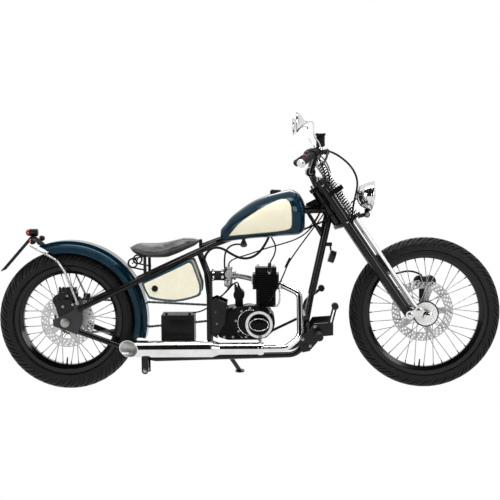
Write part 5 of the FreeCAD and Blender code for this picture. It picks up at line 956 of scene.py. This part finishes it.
# Seat springs: two hairpin springs of black coated wire, each a double loop whose lower arm sits on
# the stays and whose upper arm carries the pan, with the nose bolted to a steel hinge on the backbone.
LOOP_X, LOOP_Z, LOOP_RADIUS = 300, 577, 20
LOWER_ARM = [(362, 547), (342, 547.5), (310, 556), (296, 557.4)]
UPPER_ARM = [(362, 607), (340, 605), (314, 598), (298, 596.8)]
loops = [ring_of((LOOP_X, y, LOOP_Z), LOOP_RADIUS, range(-75, 286, 24)) for y in (-96, -89.5, 89.5, 96)]
arms = [[(x, y, z) for x, z in arm] for y, arm in ((-96, LOWER_ARM), (-89.5, UPPER_ARM), (96, LOWER_ARM),
                                                   (89.5, UPPER_ARM))]
pins = [bar((LOOP_X, side * 84, LOOP_Z), (LOOP_X, side * 100, LOOP_Z), 3.4, steps=16) for side in (-1, 1)]
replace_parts(settle([hose(3.9, *loops, order=4, parts=3), hose(3.6, *arms)] + pins, "saddle_springs",
                   black_powder, angle=60), "seat_springs")

# Rear fender and its furniture: a pressed steel mudguard in the tank's teal, bent stays of brushed
# steel, a folded plate bracket, and lamps with clear-edged red and amber lenses in black bodies.
dress(teal, "rear_fender")
dress(brushed, "fender_struts")
# A matte zinc coat shows hardly any highlight.
matte_coat = finish("matte_black_zinc_coat", "0a0a0b", "111113", rough=(0.75, 0.9), patch=30, shine=0.08)
dress(matte_coat, "plate_bracket")
BEAD_RADIUS, TAIL_LAMP, BLINKER = 306.5, (-139, 0, 709), (-141, 102, 676)
beads = [ring_of((0, y, REAR_AXLE.z), BEAD_RADIUS, range(-13, 102, 6)) for y in (-70, 70)]
settle(hose(2.8, *beads, parts=3), "fender_beads", teal)
# Moulded lenses are deep in colour under a sharp, clear highlight.
red_lens = finish("red_lamp_lens", "a80f18", "8e0c14", rough=(0.06, 0.12), patch=20, coat=0.8)
amber_lens = finish("amber_lamp_lens", "c9560f", "b34a0c", rough=(0.06, 0.12), patch=20, coat=0.8)
tail = lathe([(0, -2), (14, -2), (16.8, 0), (16.8, 32), (16, 35), (0, 35)], TAIL_LAMP, BACK, 40)
settle(tail, "tail_lamp_body", black_plastic)
tail_face = lathe([(15.8, 33), (16, 37), (14.6, 46), (10, 51), (5, 53), (0, 53.8)], TAIL_LAMP, BACK, 40)
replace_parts(settle(tail_face, "tail_lens", red_lens), "tail_lamp")
blinker = lathe([(0, -14), (6, -13.6), (10.5, -10), (12.6, -4), (13, 4), (12.4, 6), (0, 6)], BLINKER, BACK,
                32)
settle(both_sides(blinker), "indicator_bodies", black_plastic)
amber = lathe([(12.4, 5), (12, 8), (9.6, 11.4), (5, 13.4), (0, 14)], BLINKER, BACK, 32)
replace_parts(settle(both_sides(amber), "indicator_lenses", amber_lens), "rear_indicators")
bolts("fender_bolts", mirrored([((56, 127, 404), LEFT, 13, 7), ((-40, 78, 589), LEFT, 11, 6),
                                ((-92, 78, 620), LEFT, 11, 6)]))


# Side boxes: vacuum-formed covers over the battery space, cream with a teal border like the tank's
# panel, each held by a quarter-turn lock.
def cream_border(tree, shader, place):
    """Teal outside the panel's edge, cream inside it."""
    edge = add(tree, "ShaderNodeAttribute", {"attribute_name": "panel_edge"}).outputs["Fac"]
    inside = add(tree, "ShaderNodeMath", {"operation": "LESS_THAN", 1: 0.0}, {0: edge}).outputs[0]
    under = shader.inputs["Base Color"].links[0].from_socket
    whole = add(tree, "ShaderNodeMix", {"data_type": "RGBA", 6: linear("123c49")},
                {0: inside, 7: under}).outputs[2]
    tree.links.new(whole, shader.inputs["Base Color"])


# The covers' enamel is smooth and even, a little softer than the tank's lacquer.
box_paint = finish("cream_and_teal_enamel", "efead2", "e3ddc2", rough=(0.22, 0.32), patch=45, coat=0.6,
                   extra=cream_border)
BOX_EDGE = [(335, 491), (350, 455), (369, 418), (400, 411), (442, 405), (485, 403), (522, 408), (560, 417),
            (592, 428), (600, 436), (603, 456), (603, 477), (585, 528), (568, 575), (561, 586), (548, 588),
            (470, 552), (400, 520), (345, 498)]
BOX_PANEL = [(350, 484), (360, 456), (374, 431), (400, 423), (442, 417), (485, 414), (522, 419), (560, 428),
             (586, 438), (592, 446), (594, 460), (593, 480), (578, 525), (562, 568), (556, 576), (546, 577),
             (480, 545), (410, 513), (356, 489)]
BOX_IN, BOX_OUT, BOX_GRID = 68, 104, 2.5
covers = []
for side in (-1, 1):
    cover = prism([(x, side * BOX_IN, z) for x, z in BOX_EDGE], (0, side * (BOX_OUT - BOX_IN), 0))
    soften(cover, 6, 4, 50)
    edited(cover, (bpy.ops.mesh.quads_convert_to_tris, {}))
    modified(cover, "REMESH", mode="VOXEL", voxel_size=BOX_GRID)
    modified(cover, "SMOOTH", factor=0.5, iterations=3)
    mark(cover, BOX_PANEL)
    covers.append(cover)
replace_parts(settle(covers, "box_covers", box_paint, angle=60), "side_boxes")
lock = lathe([(0, 0), (14, 0), (14, 2), (12, 3.4), (5, 3.4), (4.6, 2), (0, 2)], (397, BOX_OUT, 464), LEFT, 32)
settle(both_sides(lock), "box_locks", black_plastic)
dress(black_plastic, "battery")
settle([bar((x, -30, 338), (x, -30, 346), 6, soft=1) for x in (440, 545)]
       + [slab((430, -63.2, 246), (556, -62, 318), 0.4), slab((419, -63.5, 330), (567, 63.5, 335), 1)],
       "battery_fittings", black_plastic)

# Rear caliper: a black anodised casting over the disc's top edge, with two bored piston caps, a
# ribbed bridge, guide pins and a bleed nipple, bolted to its carrier plate on the axle.
CALIPER = REAR_AXLE + Vector((8, 0, 0))
casting = joined(
    [slab((-46, -98, 98), (46, -72, 138), 8), slab((-34, -96, 128), (30, -44, 150), 6)]
    + [slab((x, -101, 126), (x + 5, -70, 155), 2) for x in (-38, -22, -2, 18, 34)]
    + [lathe([(0, 0), (19, 0), (19, 3), (17, 5), (13, 5), (12, 3), (0, 3)], (x, -97, 116), RIGHT, 36)
       for x in (-22, 22)]
    + [bar((-56, -84, 106), (56, -84, 106), 6, soft=1.5),
       lathe([(5, 0), (5, 8), (3, 9), (3, 18), (4, 19), (4, 22), (0, 22)], (10, -84, 148), (0.2, 0, 1), 16)])
casting.location = CALIPER
settle(casting, "caliper_casting", black_alloy)
bolts("caliper_bolts", [(CALIPER + Vector(spot), RIGHT, across, tall) for spot, across, tall in (
    ((-19, -107, 70), 13, 7), ((25, -107, 79), 13, 7), ((0, -100, 116), 8, 4), ((40, -97, 132), 9, 5),
    ((-40, -97, 132), 9, 5))])

# Foot controls, horn and brakes: black coated steel plates and cast calipers, ribbed rubber on the
# pegs and pedal pads, and hollow axle nuts at both wheels.
dress(black_alloy, "front_caliper", "rear_caliper", "horn")
dress(moulded_rubber, "pedals")
profile = [(0, 0)]
for rib in range(9):
    profile += [(17.5, rib * 9 + 1), (17.5, rib * 9 + 6), (15.6, rib * 9 + 7), (15.6, rib * 9 + 9)]
profile += [(17.5, 83), (17.5, 90), (14, 93), (0, 93)]
settle(both_sides(lathe(profile, (1120, 112, 258), LEFT, 28)), "peg_rubbers", moulded_rubber)
bolts("control_bolts", mirrored(
    [((x, 110.5, z), LEFT, 12, 6) for x, z in ((1104, 292), (1168, 296), (1050, 236), (1082, 206))]
    + [((0, 130, REAR_AXLE.z), LEFT, 33, 12), ((1066, 78, 300), LEFT, 14, 7)]))
bolts("front_axle_nuts", mirrored([((1600, 138, FRONT_AXLE.z), LEFT, 33, 12)]), material=chrome, body="fork")
HORN, HORN_DIP = Vector((1186, 0, 593)), radians(18)
horn_aim = Vector((cos(HORN_DIP), 0, -sin(HORN_DIP)))
settle([lathe([(r, -0.3), (r + 1.2, 1.6), (r + 2.4, -0.3)], HORN + horn_aim * 13, horn_aim, 40)
        for r in (6, 12, 18, 24)], "horn_rings", black_plastic)

# Cables and hoses: rubber-covered bowden cables and the front brake hose hang in easy curves from
# the bar. Those that end on the frame are fixed in place on no body; the brake hose runs down the fork.
# A drawn sheath is smooth, with one thin dull line of light along it.
cable_skin = finish("black_cable_sheath", "08080a", "111113", rough=(0.4, 0.5), patch=20, shine=0.15)
FORK_LINES = [
    ("front_brake_hose", 4.4, [
        (1124, -236, 1064), (1150, -238, 1066), (1184, -232, 1058), (1258, -200, 1004), (1292, -160, 938),
        (1284, -140, 884), (1268, -128, 816), (1268, -120, 752), (1280, -84, 712), (1296, 0, 690),
        (1308, 84, 668), (1330, 122, 632), (1392, 126, 545), (1448, 122, 494), (1500, 112, 504),
        (1556, 92, 524), (1600, 72, 498)]),
    ("lamp_wires", 3.2, [
        (1196, 12, 764), (1222, 10, 784), (1250, 8, 812), (1276, 4, 838), (1302, 0, 856)]),
    ("speed_cable", 2.8, [
        (1180, 40, 850), (1240, 70, 780), (1270, 118, 690), (1380, 122, 520), (1520, 104, 360),
        (1575, 78, 330)]),
]
CROSSING_LINES = [
    ("clutch_cable", 3, [
        (1122, 236, 1056), (1150, 232, 1050), (1188, 184, 1000), (1196, 110, 900), (1178, 40, 838),
        (1145, -24, 777), (1090, -52, 711), (1036, -70, 640), (986, -86, 572), (972, -92, 532),
        (958, -95, 502), (926, -95, 440), (905, -94, 404)]),
    ("throttle_cable", 3, [
        (1070, -290, 1042), (1110, -280, 1040), (1160, -220, 1000), (1172, -130, 920), (1150, -60, 840),
        (1110, -40, 740), (1040, -34, 670), (900, -30, 640), (800, -24, 600), (728, -10, 584),
        (722, 0, 562)]),
    ("brake_switch_wire", 2.4, [
        (1100, -236, 1046), (1130, -210, 1020), (1160, -140, 940), (1150, -70, 850), (1126, -46, 784),
        (1090, -34, 728), (1050, -22, 708), (1020, -14, 706)]),
    ("main_wiring", 4.4, [
        (1100, 150, 1030), (1140, 120, 980), (1180, 70, 900), (1196, 0, 830), (1188, -30, 774),
        (1124, -34, 742), (1064, -28, 719), (1020, -16, 706)]),
]
FIXED_LINES = [
    ("breather_hose", 5.5, [
        (906, -24, 694), (900, -34, 676), (874, -46, 630), (840, -50, 600), (800, -50, 587),
        (754, -50, 598), (707, -50, 631), (681, -52, 641), (648, -54, 640), (621, -58, 612),
        (614, -62, 585), (618, -66, 520), (628, -70, 440), (634, -70, 390)]),
    ("plug_lead", 3.4, [
        (906, -62, 564), (908, -62, 576), (919, -58, 588), (933, -50, 622), (933, -40, 656),
        (913, -28, 682), (904, -16, 704)]),
    ("fuel_hose", 4, [
        (780, -20, 650), (754, -26, 657), (714, -28, 640), (703, -28, 600), (703, -26, 556),
        (706, -20, 526)]),
    ("starter_cable_a", 3.2, [
        (756, -42, 466), (748, -46, 484), (730, -52, 470), (700, -58, 430), (668, -60, 404),
        (640, -56, 380), (600, -40, 350), (560, -30, 346)]),
    ("starter_cable_b", 3.2, [
        (768, -42, 466), (764, -48, 490), (742, -56, 480), (712, -60, 440), (684, -64, 420),
        (650, -62, 400)]),
    ("clutch_adjuster", 6, [
        (997, -82, 594), (990, -85, 581), (982, -88, 566), (976, -91, 552)]),
    ("rear_brake_hose", 3.4, [
        (-28, -84, 420), (10, -96, 440), (70, -116, 408), (160, -118, 430), (300, -112, 492),
        (380, -106, 528)]),
]
settle([hose(thick, spots, order=4, parts=10) for _, thick, spots in FORK_LINES], "fork_lines",
       cable_skin, "fork")
for line_name, thick, spots in CROSSING_LINES:
    line = settle(hose(thick, spots, order=4, parts=10), line_name, cable_skin, None)
    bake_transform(line)
settle([hose(thick, spots, order=4, parts=10) for _, thick, spots in FIXED_LINES], "frame_lines",
       cable_skin)
# The tap's brown plastic looks warm beside the black hoses.
tap_plastic = finish("dark_brown_tap_plastic", "2c1d15", "38261c", rough=(0.3, 0.4), patch=12)
settle([lathe([(0, -30), (9, -30), (13, -27), (14, -12), (11, -6), (8, 0), (8, 12), (0, 12)], (790, -8, 668),
              UP, 24),
        bar((790, -10, 650), (790, -32, 650), 7, soft=1), slab((774, -36, 645), (806, -30, 655), 2)],
       "fuel_tap", tap_plastic)

# Studio: a white sweep under soft boxes, seen from the right side of the bike through a long lens.
# The camera, chrome and gloss paint see the floor and the backdrop as the same pure white.
CAMERA_RIGHT = Vector((0.99985, 0.01415, -0.00956))
CAMERA_UP = Vector((0.00623, 0.21916, 0.97567))
CAMERA_TARGET = Vector((0.0068, -0.0672, 0.6184))
CAMERA_FAR, LENS = 5.0, 80.05
camera_back = CAMERA_RIGHT.cross(CAMERA_UP).normalized()
camera_data = bpy.data.cameras.new("studio_camera")
camera_data.lens = LENS
camera_data.clip_end = 60
camera = placed("studio_camera", camera_data)
camera.matrix_world = Matrix.Translation(CAMERA_TARGET + camera_back * CAMERA_FAR) @ Matrix((
    CAMERA_RIGHT, camera_back.cross(CAMERA_RIGHT), camera_back)).transposed().to_4x4()
bpy.context.scene.camera = camera


def seen_white(tree):
    """1 for rays that the camera, gloss or glass sends out, and 0 for those that carry light on."""
    rays = add(tree, "ShaderNodeLightPath").outputs
    seen = add(tree, "ShaderNodeMath", {"operation": "MAXIMUM"},
               {0: rays["Is Camera Ray"], 1: rays["Is Glossy Ray"]}).outputs[0]
    return add(tree, "ShaderNodeMath", {"operation": "MAXIMUM"},
               {0: seen, 1: rays["Is Transmission Ray"]}).outputs[0]


def sheet(name, colour, rough):
    """A plain material of the studio, with its tree and its shader."""
    made = bpy.data.materials.new(name)
    made.use_nodes = True
    shader = made.node_tree.nodes["Principled BSDF"]
    shader.inputs["Base Color"].default_value = linear(colour)
    shader.inputs["Roughness"].default_value = rough
    return made, made.node_tree, shader


bare()
bpy.ops.mesh.primitive_plane_add(size=40)
floor = bpy.context.object
floor.name = "studio_floor"
sweep, tree, paper = sheet("white_paper_sweep", "f4f4f4", 0.9)
white = add(tree, "ShaderNodeEmission", {"Color": (1, 1, 1, 1), "Strength": 1.0})
mixed = add(tree, "ShaderNodeMixShader", {}, {0: seen_white(tree), 1: paper.outputs[0], 2: white.outputs[0]})
tree.links.new(mixed.outputs[0], tree.nodes["Material Output"].inputs["Surface"])
floor.data.materials.append(sweep)

# A dark canopy over the camera's side of the room, seen only in reflections. It gives chrome its
# dark band and leaves black paint black, between the white floor and the light overhead.
bare()
bpy.ops.mesh.primitive_cone_add(vertices=96, radius1=7.5, radius2=2.4, depth=5.6, end_fill_type="NOTHING",
                                location=(0, 0, 3.9))
canopy = bpy.context.object
canopy.name = "dark_canopy"
edited(canopy, (bpy.ops.mesh.bisect, {"plane_co": (0, -1.6, 0), "plane_no": LEFT, "clear_outer": True}))
canopy_cloth, tree, weave = sheet("dark_canopy_cloth", "0c0c0d", 1.0)
rays = add(tree, "ShaderNodeLightPath")
clear = add(tree, "ShaderNodeBsdfTransparent")
mixed = add(tree, "ShaderNodeMixShader", {},
            {0: rays.outputs["Is Glossy Ray"], 1: clear.outputs[0], 2: weave.outputs[0]})
tree.links.new(mixed.outputs[0], tree.nodes["Material Output"].inputs["Surface"])
canopy.data.materials.append(canopy_cloth)

# Studio air: white where it is seen and dimmer as a light, so that the soft boxes shape the bike.
world = bpy.data.worlds.new("studio_air")
bpy.context.scene.world = world
world.use_nodes = True
tree = world.node_tree
backdrop = tree.nodes["Background"]
backdrop.inputs["Color"].default_value = (1, 1, 1, 1)
level = add(tree, "ShaderNodeMapRange", {"To Min": 0.35, "To Max": 1.0}, {0: seen_white(tree)})
tree.links.new(level.outputs[0], backdrop.inputs["Strength"])
SOFT_BOXES = [
    ("top_box", (0.0, -0.6, 3.2), (0.0, 0.0, 0.5), 3.0, 0.6, 60),
    ("front_box", (2.6, -3.0, 2.0), (0.2, 0.0, 0.6), 1.6, 1.6, 45),
    ("rear_box", (-2.8, -2.8, 1.8), (-0.3, 0.0, 0.6), 1.4, 1.4, 35),
    ("far_box", (0.4, 3.2, 2.4), (0.0, 0.0, 0.6), 2.2, 1.4, 45),
]
for box_name, spot, aim, wide, tall, power in SOFT_BOXES:
    lamp = bpy.data.lights.new(box_name, "AREA")
    lamp.shape = "RECTANGLE"
    lamp.size, lamp.size_y, lamp.energy = wide, tall, power
    holder = placed(box_name, lamp)
    holder.location = spot
    holder.rotation_mode = "QUATERNION"
    holder.rotation_quaternion = (Vector(aim) - Vector(spot)).to_track_quat("-Z", "Y")
bpy.context.scene.view_settings.view_transform = "Standard"
